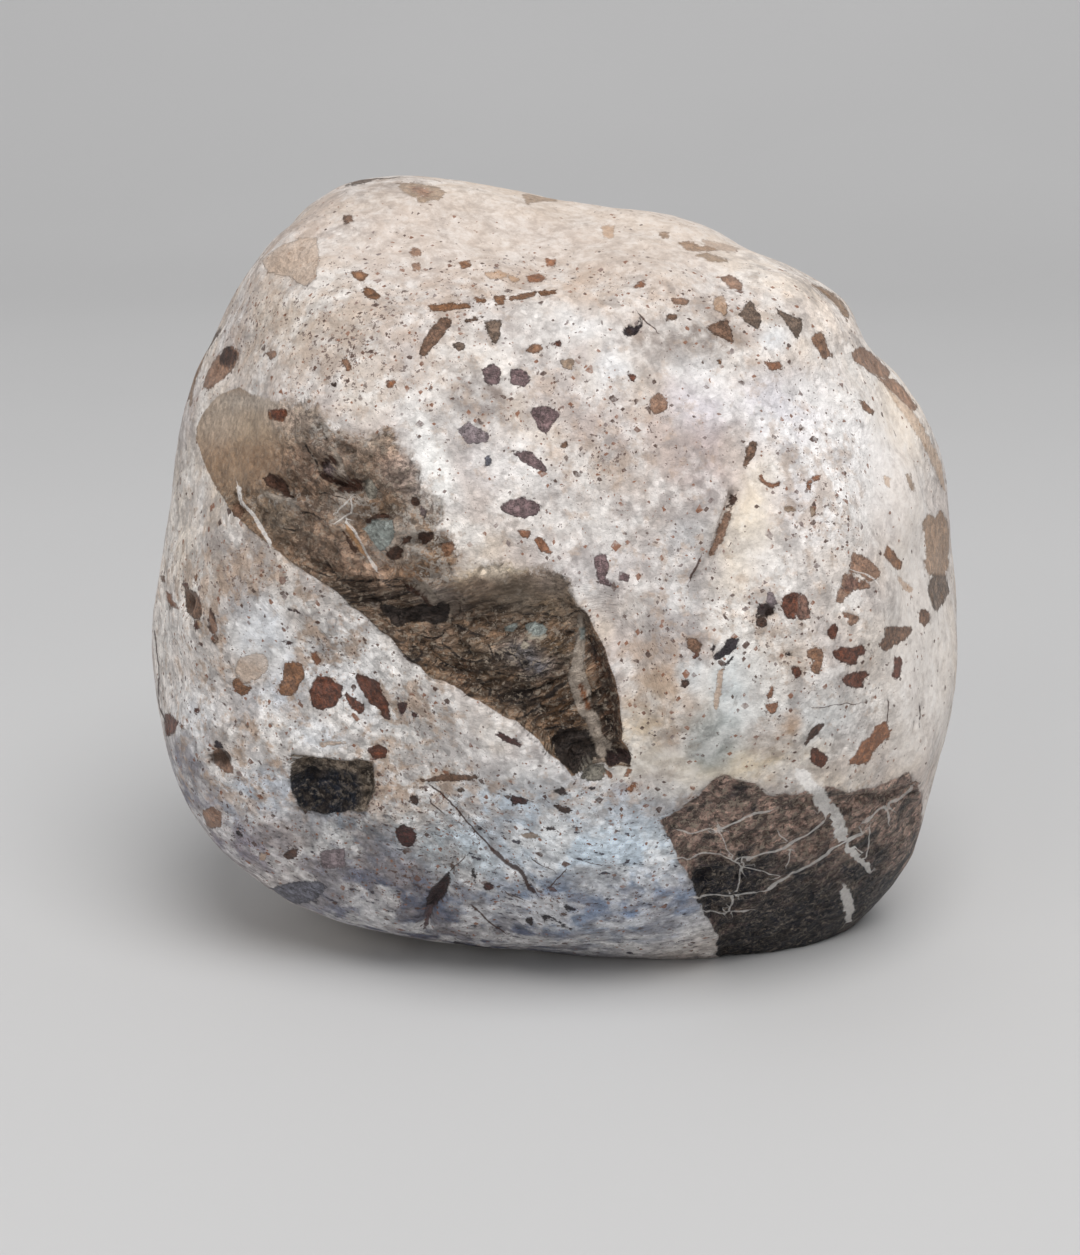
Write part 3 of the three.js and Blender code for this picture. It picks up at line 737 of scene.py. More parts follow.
# cracks and clefts: half width and depth in hundredths of a millimetre, then the line
cracks = [
    "70 80 180,74 173,56 166,34 159,14",
    "80 90 -106,-312 -112,-328 -123,-344 -128,-358",
    "55 55 -122,-221 -104,-236 -64,-283 -44,-298 -29,-309 -20,-327",
    "130 35 291,215 326,177 361,127 381,67",
    "50 35 -84,-340 -44,-373",
    "45 30 156,9 138,-12",
    "40 35 365,-140 368,-163",
]

# dark crevices inside the wedge clast, likewise
crevices = [
    "16 40 -84,-129 -69,-131 -54,-133 -34,-135 -14,-132 -2,-128 6,-121 15,-114",
    "12 30 -42,-129 -30,-124 -14,-121 -4,-117",
    "18 35 -9,-132 -4,-125 3,-121",
    "12 30 -104,-84 -92,-93 -79,-96 -64,-93",
    "12 25 -110,-77 -99,-88 -90,-95",
    "10 25 -156,-78 -142,-81 -133,-79",
    "14 30 -150,-88 -140,-95 -132,-93 -133,-85",
    "10 25 -129,-69 -119,-71 -109,-67",
    "12 25 -96,-59 -79,-68 -64,-72 -54,-69",
    "10 25 -54,-83 -42,-88 -34,-95 -30,-105",
    "10 20 -26,-93 -9,-98 4,-92",
    "10 25 -56,-105 -39,-109 -22,-110 -9,-105 4,-102",
    "14 30 -76,-113 -64,-123 -54,-129",
    "12 25 -36,-152 -24,-147 -13,-138",
    "10 20 -14,-149 1,-145 18,-145",
    "10 20 -9,-162 6,-159 21,-164",
    "14 35 -216,-13 -194,-15 -174,-13 -157,-14",
    "12 30 -176,-34 -159,-30 -145,-26",
    "10 20 -209,-21 -194,-26 -178,-23",
    "12 25 -204,-37 -188,-33 -174,-32",
    "12 25 -248,1 -236,-4 -227,-8",
    "12 25 -227,5 -220,-5 -213,-12",
    "10 20 -34,-46 -9,-47 6,-50 15,-50 24,-45",
    "10 20 -70,-73 -63,-85 -61,-93",
    "9 20 -114,-93 -102,-101 -88,-105",
    "10 20 -129,-98 -114,-101 -104,-109 -92,-117",
    "10 20 -254,53 -242,55 -232,47",
    "9 20 -270,39 -258,37",
    "10 20 -248,121 -236,105 -233,91",
    "9 20 -232,73 -222,73 -211,69",
    "9 20 -171,-16 -162,-21 -149,-21",
    "10 20 36,-73 42,-83 44,-95",
    "12 25 51,-149 57,-159 64,-167",
    "9 18 4,-175 16,-177 32,-174",
    "9 18 6,-185 21,-188 36,-185",
]

# pale veins: half width in hundredths of a millimetre, then the line
veins = [
    "52 250,-208 262,-222 270,-236 281,-248 288,-264 298,-282",
    "26 296,-280 304,-290 316,-300",
    "34 293,-326 297,-342",
    "26 295,-351 296,-358",
    "5 118,-294 134,-292 148,-286 166,-289 186,-298 204,-304 224,-309",
    "7 162,-266 184,-254 202,-247 218,-243",
    "4 164,-260 174,-280 186,-298",
    "9 214,-324 230,-312 250,-300 274,-288 292,-276 310,-266",
    "8 180,-294 206,-290 234,-280 254,-270 270,-254",
    "9 310,-256 324,-244 334,-238 348,-230 360,-220",
    "8 334,-238 336,-254",
    "5 316,-259 317,-274 313,-290",
    "6 186,-302 188,-316 180,-332 176,-346",
    "7 140,-330 162,-329 186,-328 204,-326",
    "6 154,-346 174,-346 196,-344",
    "5 226,-266 238,-280 236,-296",
    "5 124,-264 140,-268 156,-264",
    "16 -316,79 -312,62 -300,52 -293,38 -286,29 -284,22",
    "7 299,-3 310,-6 322,-15",
    "10 -178,-2 -186,14 -200,36 -208,44",
    "6 -216,56 -204,68 -202,54 -218,44",
]

# dark and rusty hairlines, likewise
hairlines = [
    "9 -122,-221 -114,-226 -98,-241 -84,-259 -74,-269 -62,-281",
    "20 -62,-281 -52,-290 -42,-299 -32,-307 -28,-313 -24,-321 -18,-327",
    "9 -80,-341 -70,-349 -62,-359 -50,-365",
    "6 -124,-235 -112,-246",
    "7 -4,-321 13,-306",
    "6 -47,-326 -31,-335",
    "6 -21,-293 -1,-303",
    "5 34,-296 52,-300",
    "6 -156,-262 -142,-278",
    "6 -104,-304 -98,-298 -89,-290",
    "11 146,8 140,-1 136,-11",
    "9 365,-139 367,-154",
    "6 335,-133 334,-152",
    "7 86,250 101,234",
    "4 260,-140 280,-138 304,-136",
    "8 -400,-64 -394,-140 -388,-156",
]

# pits where small clasts have dropped out: across, up, radius, depth
pits = [
    (19.7, 11, 1.2, 0.5), (-33.4, -19.3, 1.9, 0.9), (-36.2, -3.6, 1.6, 0.7), (21.2, -4.6, 1.3, 0.5),
    (7.7, 23.7, 1.1, 0.4), (16.9, -8.3, 1.1, 0.3), (-27.6, 8, 1.6, 0.4), (-19, 4, 1.6, 0.4),
    (-33.4, 19.6, 1.5, 0.3), (18, 7.4, 0.9, 0.5), (8.2, 10.8, 0.6, 0.3),
]


def lineMarks(rows, x, y, front, least):
    # signed distance to the nearest line, how near it is, 0 to 1 and less for thin lines, and its half width
    distance = np.full(len(x), 3.0)  # mm, beyond the reach of any line
    near = np.zeros(len(x))
    width = np.full(len(x), 0.1)
    for row in rows:
        (half, *_), line = readRow(row)
        half /= 100
        away, side = lineDistance(line, x, y)
        closer = front & (away < np.abs(distance))
        distance[closer] = (away * side)[closer]
        width[closer] = half
        share = (1 - ease((away - half - 0.25) / 0.4)) * min(1, least + half)
        near = np.where(front, np.maximum(near, share), near)
    return distance, near, width


def chartRelief(local, x, y, front):
    # everything worn or broken into the broad face, in mm inwards, and how dark its cracks and pits are
    # painted: dirt, and painted shade that grows with their depth
    depth, sign, _, _ = wedgeShape(x, y)
    broken, _, _ = wedgeBreakage(local, x, y, sign)
    _, _, rise = outlineMarks(wedgeParts, x, y, front)
    depth = depth - broken - rise
    for clast in (block, veined):
        edge = outlineDistance(clast["outline"], x, y)
        depth += clast["depth"] * ease(-edge / clast["stepWidth"])
        depth += clastRoughness * ease(-edge / 0.5) * (0.8 - ridges(local, 1.8, 21, 3))
    dirtAndShade = np.zeros(len(x))
    for row in crevices:
        (half, deep), line = readRow(row)
        away, _ = lineDistance(line, x, y)
        depth += deep / 100 * (1 - ease(away / (half / 100 + 0.35)))
    for row in cracks:
        (half, deep), line = readRow(row)
        away, _ = lineDistance(line, x, y)
        share = 1 - ease(away / (half / 100))
        depth += deep / 100 * share
        # a crack is painted darker the deeper it is: dirt and painted shade
        dirtAndShade = np.maximum(dirtAndShade, share * min(1, deep / 100 / 2.6))
    for middleX, middleY, radius, deep in pits:
        share = 1 - ease(np.hypot(x - middleX, y - middleY) / radius)
        depth += deep * share
        # a pit likewise, darker the deeper it is: dirt and painted shade
        dirtAndShade = np.maximum(dirtAndShade, share * deep)
    return depth, dirtAndShade


# soft stains and changes of matrix colour, and, low on the broad face, painted shade and painted blue
# reflection: across, up, half widths, turn in degrees, sRGB, strength
stainsAndLowShade = [
    (-26.5, 30.5, 4.2, 3, 30, (196, 174, 156), 0.6),
    (-14, 31, 6, 4, 0, (226, 218, 212), 0.6),
    (-8, 33, 12, 5, -8, (238, 226, 214), 0.5),
    (8, 31.5, 9, 2.2, -8, (240, 228, 216), 0.7),
    (-25, 23, 6, 4, 20, (206, 190, 174), 0.6),
    (0.5, 25, 5, 2.2, -5, (240, 237, 234), 0.8),
    (3, 24.8, 2.2, 1.6, 0, (236, 238, 240), 0.7),
    (7.4, 27, 7, 3, -10, (208, 186, 168), 0.65),
    (13.8, 20.6, 3.2, 2, 0, (238, 236, 234), 0.85),
    (6, 20.4, 2, 3.6, -8, (222, 224, 228), 0.75),
    (22, 22.6, 2, 1.4, 0, (234, 238, 242), 0.7),
    (14.6, 24, 4, 2, -10, (176, 158, 144), 0.75),
    (9, 22.4, 3, 1.6, 0, (194, 178, 165), 0.7),
    (-7.4, 17.2, 2.4, 1.6, 0, (180, 166, 158), 0.7),
    (23, 13, 5, 6, 20, (226, 224, 232), 0.85),
    (31, 11, 6, 7, 0, (236, 230, 226), 0.6),
    (18.6, 14.4, 3, 2.4, 0, (226, 226, 232), 0.6),
    (20, 5, 2.6, 6.5, -12, (246, 228, 200), 0.95),
    (17.6, 11.6, 1.6, 3, -20, (240, 224, 202), 0.7),
    (14.4, 11.6, 4.6, 6, 0, (184, 166, 164), 0.75),
    (6, 13, 6, 4, 0, (192, 172, 160), 0.65),
    (9, 3, 7, 6, 0, (190, 181, 178), 0.55),
    (5, 0, 5, 2, 15, (226, 222, 222), 0.5),
    (13.6, 3, 2.4, 2, 0, (222, 228, 232), 0.5),
    (25, 0, 6, 7, 0, (224, 218, 215), 0.5),
    (-4, 10, 5, 3, -30, (226, 222, 222), 0.6),
    (-12.2, 10.6, 1.8, 5.4, 22, (240, 238, 234), 0.9),
    (-8.6, 15.4, 2.6, 2.4, 0, (232, 230, 228), 0.6),
    (14.4, -8.2, 1.8, 1.5, 0, (152, 118, 100), 0.75),
    (11.4, -6, 3, 4, 0, (184, 166, 154), 0.6),
    (10.2, -12.6, 2.2, 2.2, 0, (178, 158, 142), 0.8),
    (13.4, -10, 1.6, 1.6, 0, (168, 160, 156), 0.8),
    (19, -13, 3.4, 5, 0, (220, 222, 220), 0.7),
    (26, -15.5, 5, 3, 20, (232, 233, 232), 0.75),
    (10.5, -14.6, 3.4, 5, 10, (208, 182, 156), 0.75),
    (17, -20, 9, 2, 8, (242, 222, 190), 0.95),
    (9.4, -17.4, 3, 4, 0, (240, 219, 188), 0.9),
    (22.4, -17.4, 2.6, 1.6, -20, (178, 154, 132), 0.85),
    (11.5, -17.5, 1.4, 1.2, 0, (206, 156, 108), 0.6),
    (24, -16, 0.9, 1.2, 0, (196, 152, 110), 0.6),
    (9, -21.5, 2.2, 1, 20, (164, 112, 74), 0.7),
    (7, -22.6, 0.8, 0.8, 0, (118, 72, 50), 0.8),
    (8.3, -22, 0.7, 0.7, 0, (132, 80, 54), 0.8),
    (15.8, -17.4, 2.4, 2.8, 0, (134, 141, 134), 1),
    (17.4, -12.6, 1.6, 3.4, 0, (212, 219, 220), 0.85),
    (14, -10.8, 1.2, 2, 0, (206, 212, 214), 0.7),
    (-22, -14, 22, 8, -30, (234, 231, 229), 0.6),
    (-32.4, 0.7, 3.4, 4.4, 0, (170, 154, 142), 0.7),
    (-25.4, -5.3, 3.4, 2, -30, (214, 202, 192), 0.6),
    (-29.6, -6.6, 2.6, 3.4, 20, (234, 238, 243), 0.95),
    (-27, -11.6, 3.6, 2, 30, (222, 226, 234), 0.8),
    (-30.4, -10.4, 2, 1.8, 0, (184, 168, 154), 0.75),
    (-36, -14.6, 2.2, 3, 0, (232, 236, 242), 0.9),
    (-19, -12.4, 5, 2.4, -38, (218, 220, 224), 0.7),
    (-24, -17, 3, 1.4, -10, (224, 227, 232), 0.85),
    (-29, -21.6, 2.6, 2.6, 0, (212, 214, 220), 0.75),
    (-34.6, -24, 2, 3, 20, (160, 148, 152), 0.6),
    (-14, -15, 5, 2.4, -38, (222, 216, 210), 0.6),
    (-15.4, -12.3, 2.4, 1.2, -38, (192, 184, 178), 0.7),
    # low on the broad face: the pale grey clast's own colour, cooled and darkened towards the bottom by
    # painted shade and painted blue reflection
    (3, -28, 14, 7, 5, (190, 200, 211), 0.85),
    (-9, -26, 3, 3.4, -40, (206, 212, 218), 0.7),
    (-5.6, -23.6, 5, 1.6, 10, (196, 204, 212), 0.7),
    (-2.5, -27, 4, 1.2, 10, (164, 150, 140), 0.55),
    (9, -34.6, 9, 3.4, 8, (146, 156, 172), 0.8),
    (-2, -35, 8, 3, 0, (140, 147, 160), 0.8),
    (-20, -29, 9, 4, -10, (142, 140, 148), 0.8),
    (-16, -34.6, 9, 3.4, -8, (128, 130, 143), 0.8),
    (-10, -36.6, 5, 2, -10, (158, 146, 146), 0.7),
    (-32, -28, 6, 4, -35, (150, 143, 151), 0.8),
    (-38, -21, 3, 5, 0, (158, 158, 168), 0.6),
    (-8, -38.4, 15, 2.6, -4, (116, 120, 134), 0.8),
    (-20, -34.6, 8, 2.6, -14, (126, 126, 138), 0.75),
    (-20, -26.6, 3.4, 2.2, -20, (136, 136, 139), 0.8),
    (-10.6, -24.2, 2.2, 1.6, -40, (228, 232, 236), 0.9),
    (-35, -10, 3, 5, 0, (216, 206, 198), 0.5),
    (36.5, -8, 3.4, 12, 0, (240, 231, 222), 0.85),
    (38.4, -26, 1.6, 5, 8, (180, 154, 143), 0.7),
    (33, 12, 1.8, 6, 25, (240, 225, 208), 0.7),
    (-38, 2, 2.5, 9, 5, (210, 198, 188), 0.6),
    (-5, 28, 9, 1.4, -3, (206, 182, 162), 0.6),
    (-6, 20.6, 6, 3, 0, (214, 204, 196), 0.45),
    (-7.4, 16.8, 2.8, 2, 0, (140, 126, 118), 0.8),
    (14.4, 23, 3.6, 1.8, -8, (134, 116, 102), 0.75),
    (30, 11.6, 5.4, 5.4, 0, (255, 250, 247), 0.95),
    (34.6, 8, 3, 4, 0, (246, 236, 228), 0.7),
    (26.6, 4.7, 3.4, 2.6, 0, (240, 236, 234), 0.65),
    (-20.4, -8.3, 4.4, 3, -35, (240, 236, 233), 0.85),
    (8.6, -19.4, 2.4, 2, 0, (236, 226, 210), 0.7),
    (10.4, -13.2, 2.8, 3.4, 0, (178, 158, 142), 0.6),
    # more painted shade and painted blue reflection low on the broad face
    (-11, -28, 5, 3, -20, (196, 207, 212), 0.8),
    (-5, -25.4, 5.4, 2.8, 10, (212, 223, 233), 0.8),
    (3, -34, 12, 3.4, 4, (140, 152, 169), 0.7),
    (-20.4, -26.4, 4.5, 3.2, -20, (112, 116, 120), 0.8),
    (-18.6, -30.6, 6, 3, -12, (124, 124, 137), 0.65),
    (-14, -34, 6, 3, -10, (92, 100, 120), 0.85),
    (-8, -37, 8, 2, -6, (104, 108, 122), 0.75),
    (-33, -27.6, 4, 4, -30, (140, 134, 147), 0.5),
    (-37.6, -21.4, 2.6, 4, 0, (116, 117, 132), 0.85),
    (-38, 0.8, 2.4, 6, 4, (252, 240, 226), 0.85),
    (-39, -8, 2.4, 7, 0, (250, 240, 233), 0.9),
    (-4, 37, 10, 1.8, -8, (255, 238, 217), 0.8),
    (7, 35, 8, 2, -14, (252, 235, 216), 0.8),
    (20, 30, 6, 2, -28, (255, 243, 228), 0.85),
    (27.4, 23.8, 3, 3.2, -40, (255, 240, 226), 0.85),
    (34.4, 15, 2, 5, 22, (255, 238, 218), 0.8),
    (-14, 27.6, 5, 3, 0, (196, 182, 174), 0.6),
    (-7.4, 16.8, 2.6, 2, 0, (120, 106, 99), 0.6),
    (14.4, 23, 3.2, 1.6, -8, (110, 92, 80), 0.6),
    (8.6, 22.6, 2.6, 1.6, 0, (168, 148, 134), 0.6),
    (-17.4, 38, 4, 1.6, 20, (158, 144, 132), 0.6),
    (12.6, -3.3, 3, 4, 0, (192, 186, 188), 0.5),
    (22.6, 6.7, 2, 3, 0, (214, 205, 204), 0.5),
    (29.6, 11.7, 3.4, 4, 0, (248, 244, 242), 0.4),
    (-39.6, -8, 1.6, 5, 0, (255, 248, 240), 0.8),
    (-21, -8.4, 3, 2.4, -35, (255, 252, 250), 0.8),
    # more painted shade and painted blue reflection low on the broad face, darkest along the bottom edge
    (4.6, -28.4, 7, 2.6, 4, (220, 232, 240), 0.75),
    (1, -33.8, 10, 2.4, 4, (122, 133, 150), 0.6),
    (-15.4, -33.6, 5, 2.2, -12, (80, 88, 106), 0.6),
    (-7, -37.4, 9, 1.8, -5, (52, 56, 80), 0.8),
    (-24, -23.4, 4, 2.4, -20, (166, 178, 192), 0.6),
    (-33, -27.4, 3.4, 3, -30, (116, 114, 128), 0.5),
    (-4, 33.4, 26, 7, -4, (196, 176, 160), 0.75),
    (6, 14, 4, 3, 0, (200, 188, 186), 0.4),
    (14.6, 16.7, 3.2, 2.6, 0, (228, 224, 230), 0.7),
    (20.6, 0.7, 2.6, 3, 0, (204, 198, 194), 0.5),
    (12.6, -3.3, 3, 3, 0, (170, 168, 168), 0.5),
    (15.8, -17.6, 2.4, 2.6, 0, (104, 114, 110), 0.6),
    # more painted blue reflection and painted shade low on the broad face
    (-30.4, -23.4, 3, 2.4, 0, (200, 208, 218), 0.7),
    (9.6, -33.4, 5, 3, 0, (118, 140, 176), 0.5),
    (6, 4, 9, 6, 0, (172, 164, 160), 0.3),
    (0.8, 6.7, 3, 2.4, 0, (170, 160, 158), 0.35),
    (13, -4, 4, 4, 0, (176, 172, 170), 0.3),
    (34, 8, 3, 4, 0, (232, 222, 214), 0.3),
    # more painted blue reflection and painted shade low on the broad face
    (1, -32.8, 6, 3, 0, (122, 138, 166), 0.4),
    (6, -28.6, 7, 3, 0, (214, 230, 244), 0.5),
    (-5, -24.8, 5, 2.4, 10, (214, 228, 242), 0.5),
]

# patches of plainer matrix: across, up, half widths, how much of the mottling is gone
quiet = [
    (17, -14, 4, 6, 0.6), (-29, -7, 3, 4, 0.5), (12, -20, 9, 2, 0.6), (34, 10, 3, 9, 0.75),
    (37, -8, 4, 14, 0.75), (0, 34, 26, 6, 0.8), (0, 20, 36, 9, 0.2), (20, 5, 2, 6, 0.5),
    (-24, -14, 15, 17, -0.6), (-2, -30, 20, 9, -0.3),
]

# stains inside the wedge clast, as on the matrix
wedgeStains = [
    (-31, 12.5, 5, 5.2, 0, (158, 131, 106), 0.95),
    (-31, 15.4, 5.4, 2.4, -10, (172, 156, 141), 0.85),
    (-26.5, 14.4, 4, 1.8, -20, (172, 154, 136), 0.7),
    (-31.5, 9.6, 0.6, 3, -14, (188, 162, 134), 0.6),
    (-33.4, 12.4, 1, 1.8, 0, (174, 134, 98), 0.5),
    (-30, 16.4, 4, 0.9, -8, (182, 170, 158), 0.7),
    (-32, 9, 2.6, 3, -30, (136, 112, 90), 0.6),
    (-28.5, 10.6, 2.6, 2.2, 0, (140, 114, 92), 0.6),
    (-22, 14, 4, 1.6, -20, (168, 156, 144), 0.75),
    (-24, 10.4, 3, 2.4, 0, (132, 108, 94), 0.7),
    (-20.5, 13, 1.6, 1, -30, (156, 116, 84), 0.7),
    (-16.6, 12.2, 1.2, 1.4, 40, (166, 126, 94), 0.7),
    (-18.6, 12.8, 2.2, 1.4, -20, (176, 160, 148), 0.6),
    (-15.5, 10.4, 2, 1.6, 0, (160, 128, 108), 0.75),
    (-13.4, 11, 1.2, 2.6, 10, (180, 173, 166), 0.8),
    (-13.3, 8.2, 1.8, 2.6, 10, (166, 154, 147), 0.85),
    (-19.5, 10, 2.4, 2, 0, (104, 92, 82), 0.6),
    (-17.5, 8, 3, 1, -8, (80, 68, 60), 0.5),
    (-24, 4, 5, 3, -38, (122, 100, 86), 0.6),
    (-27.5, 5, 2.2, 1.6, -40, (136, 122, 104), 0.6),
    (-19.4, 2.6, 2.2, 1.6, -30, (140, 106, 80), 0.6),
    (-17.4, -0.6, 4, 1.2, -6, (140, 106, 80), 0.7),
    (-15.2, 3.6, 2, 2, 0, (110, 96, 82), 0.6),
    (-20, -3, 8, 1.6, -40, (98, 80, 68), 0.6),
    (-16.4, -2.6, 4.4, 1.4, -12, (112, 98, 88), 0.6),
    (-11.4, -6.4, 2, 1.2, -20, (128, 110, 98), 0.5),
    (-8.4, -3.6, 3.6, 1.6, -10, (96, 82, 70), 0.8),
    (-5, -2.4, 4.4, 1.7, 0, (108, 94, 80), 0.95),
    (-3.8, -1.6, 3, 1, -8, (96, 84, 72), 0.7),
    (-3, -3.9, 2, 1.1, 0, (122, 108, 94), 0.8),
    (0.8, -3.6, 2, 1.2, -16, (126, 106, 84), 0.8),
    (0, -1.4, 2, 1.5, -40, (142, 128, 117), 0.9),
    (-6.4, -0.35, 3.4, 0.7, 8, (222, 206, 186), 0.95),
    (-8.8, -1.2, 1.2, 0.7, 40, (206, 186, 160), 0.8),
    (-3.6, -0.15, 1.2, 0.4, -10, (206, 190, 160), 0.7),
    (-1, -6.6, 2, 1.2, 0, (74, 56, 44), 0.6),
    (-0.6, -8.2, 3, 1, 12, (98, 74, 44), 0.8),
    (-3.6, -8.6, 2, 1.4, 0, (126, 124, 126), 0.85),
    (-1.6, -10, 1.6, 1, 0, (122, 122, 128), 0.85),
    (-7.4, -8.6, 2.6, 1.2, -20, (112, 98, 82), 0.6),
    (-7, -11, 2.4, 1.4, 0, (70, 60, 48), 0.5),
    (-9, -11, 1.4, 1.6, -30, (124, 92, 70), 0.5),
    (-3, -12.4, 3, 1.2, 10, (60, 48, 42), 0.5),
    (-2.4, -14, 2.4, 1.4, -20, (96, 86, 78), 0.6),
    (0.8, -14.4, 2.2, 2, 0, (106, 76, 50), 0.85),
    (1.4, -9.6, 1.6, 1.6, 0, (108, 100, 92), 0.5),
    (4.8, -10, 0.9, 3.6, 16, (92, 60, 42), 0.85),
    (5.6, -14.6, 0.9, 2.4, 10, (86, 56, 38), 0.8),
    (5.8, -16.6, 1, 1.8, 10, (52, 36, 30), 0.85),
    (2.8, -4.6, 1, 1.4, -30, (150, 134, 122), 0.8),
    (-33.6, 14.4, 2.4, 2.4, 0, (188, 170, 152), 0.7),
    (-31.8, 9.4, 0.9, 2.6, -12, (178, 148, 120), 0.7),
    (-30, 13.6, 2.4, 2, 0, (174, 150, 124), 0.6),
    (-30, 11, 2.4, 1.4, 0, (152, 122, 96), 0.6),
    (-26.4, 14.8, 2, 1.2, -10, (190, 168, 152), 0.7),
    (-22.4, 11.8, 2, 1.4, -30, (168, 146, 130), 0.6),
    (-17.4, 12.8, 2.2, 1.2, -20, (194, 172, 152), 0.7),
    (-15.2, 9.8, 1.8, 1.8, 0, (180, 160, 148), 0.7),
    (-21.4, 5.8, 2, 1.6, -30, (178, 158, 142), 0.6),
    (-21.4, 2.6, 3, 2, -38, (164, 138, 117), 0.7),
    (-19.2, 0.8, 3, 1.4, -38, (186, 154, 130), 0.75),
    (-15.4, 2.8, 2, 1.8, 0, (168, 152, 138), 0.7),
    (-11.4, -3.2, 2.4, 1.2, -20, (150, 134, 122), 0.55),
    (-8.4, -2, 2, 1, 10, (156, 134, 116), 0.7),
    (0.6, -4.2, 1.6, 1.2, -16, (150, 130, 104), 0.7),
    (1.1, -2.2, 1.2, 1.2, -30, (154, 138, 122), 0.5),
    (-19.4, 0.7, 2.2, 1.6, -30, (206, 172, 148), 0.7),
    (-15.4, 2.6, 2, 1.6, 0, (196, 178, 164), 0.7),
    (-11.6, -3.3, 1.8, 1.2, -20, (196, 180, 168), 0.7),
    (-3.4, -3.4, 1.6, 1, 0, (142, 128, 112), 0.6),
    (1.6, -4.4, 1.8, 1.2, -16, (166, 144, 126), 0.6),
    (4.6, -18.8, 1.2, 1, 0, (178, 164, 150), 0.7),
    (-11.4, 7.2, 1.6, 2.6, 10, (140, 132, 126), 0.6),
    (6, -13.4, 0.9, 2.6, 10, (70, 46, 32), 0.7),
]

# where the wedge breaks up into the matrix: across, up, half widths, strength of the pale net
breakups = [
    (-13, 3.4, 2.6, 3.4, 0.9), (-12, -0.4, 2.6, 2, 0.8), (-11, 6.6, 1.8, 3, 0.8), (-12.6, 11.4, 1.6, 2, 0.5),
    (-20, 6.2, 3, 1.6, 0.6), (-21.6, 5, 2, 1.4, 0.5), (-27, 6.6, 3, 1.2, 0.45), (-22, 13.4, 4, 1.4, 0.6),
    (-17, 1.6, 2, 2, 0.5), (2.6, -8.6, 1, 3, 0.5),
]

# where dark and rusty grains crowd on the broad face: across, up, half widths
crowds = [
    (6, 12, 5, 3.4), (3.4, 11, 3.4, 2.4), (9, 16, 4, 3), (13.6, 26.7, 9, 3), (5, 28.4, 6, 2),
    (-3.4, 29.6, 8, 2), (20, 20, 3, 3), (25.6, 2.7, 3.4, 4.4), (28, 8, 4, 4), (23, 12, 3, 3),
    (19.6, -3.3, 4, 4), (24, -8, 5, 4), (10, -6, 4, 5), (9, -12, 3, 5), (13, -14, 2, 5),
    (5, -22.4, 4, 2), (-14, -14.4, 5, 3), (-22, -8, 4, 3), (-34, -2, 4, 5), (-30, 0, 3, 3),
    (-31, -26, 4, 4), (-15, 18.7, 6, 4), (-22, 24, 8, 6), (-10, 26, 7, 5), (-23, 19, 5, 5),
    (-7, 15, 6, 4), (-19, 27, 6, 5), (-10, -25, 5, 4), (-6, -31, 6, 3), (-14, -32, 5, 4), (2, 17, 6, 4),
    (-24, -30, 5, 3), (14, 2, 4, 4), (-30, 24, 4, 4), (-18, -22, 4, 3), (0, -25, 6, 2.6),
    (2, -33.6, 6, 2),
]

matrixLook = {
    "cream": (222, 211, 200),
    "pinkGrey": (202, 190, 183),
    "warm": (222, 204, 184),
    "warmShare": 0.6,
    "milkiness": 1.3,  # how far the milky and the smoky patches swing
    "smokiness": 1.25,
    "crowding": 0.45,  # of dark grains by chance,
    "crowdGain": 0.75,  # and more where they crowd
    "quietLoss": 0.7,  # less in plainer matrix
    "streaksBelow": -22,  # height where the level streaks begin
}


def patchColours(listed, x, y, front, base):
    # each patch, whether stain or painted shade, fades out as a bell; later ones lie over earlier ones.
    # Returns colour and cover
    colours = evenColour(base, len(x))
    cover = np.zeros(len(x))
    for middleX, middleY, halfX, halfY, turn, rgb, strength in listed:
        cosine, sine = math.cos(math.radians(turn)), math.sin(math.radians(turn))
        a = ((x - middleX) * cosine + (y - middleY) * sine) / halfX
        b = ((y - middleY) * cosine - (x - middleX) * sine) / halfY
        share = strength * np.exp(-((a * a + b * b) ** 1.5) * 0.7) * front
        after = share + cover * (1 - share)
        colours += (linearColour(rgb) - colours) * (share / np.maximum(after, 1e-6))[:, None]
        cover = after
    return colours, cover


def setAttribute(mesh, name, values):
    # a number or a colour at each point of the mesh
    if values.ndim == 1:
        data = mesh.attributes.new(name, "FLOAT", "POINT")
        data.data.foreach_set("value", values.astype(np.float32))
    else:
        data = mesh.attributes.new(name, "FLOAT_COLOR", "POINT")
        filled = np.column_stack([values, np.ones(len(values))])
        data.data.foreach_set("color", filled.astype(np.float32).ravel())


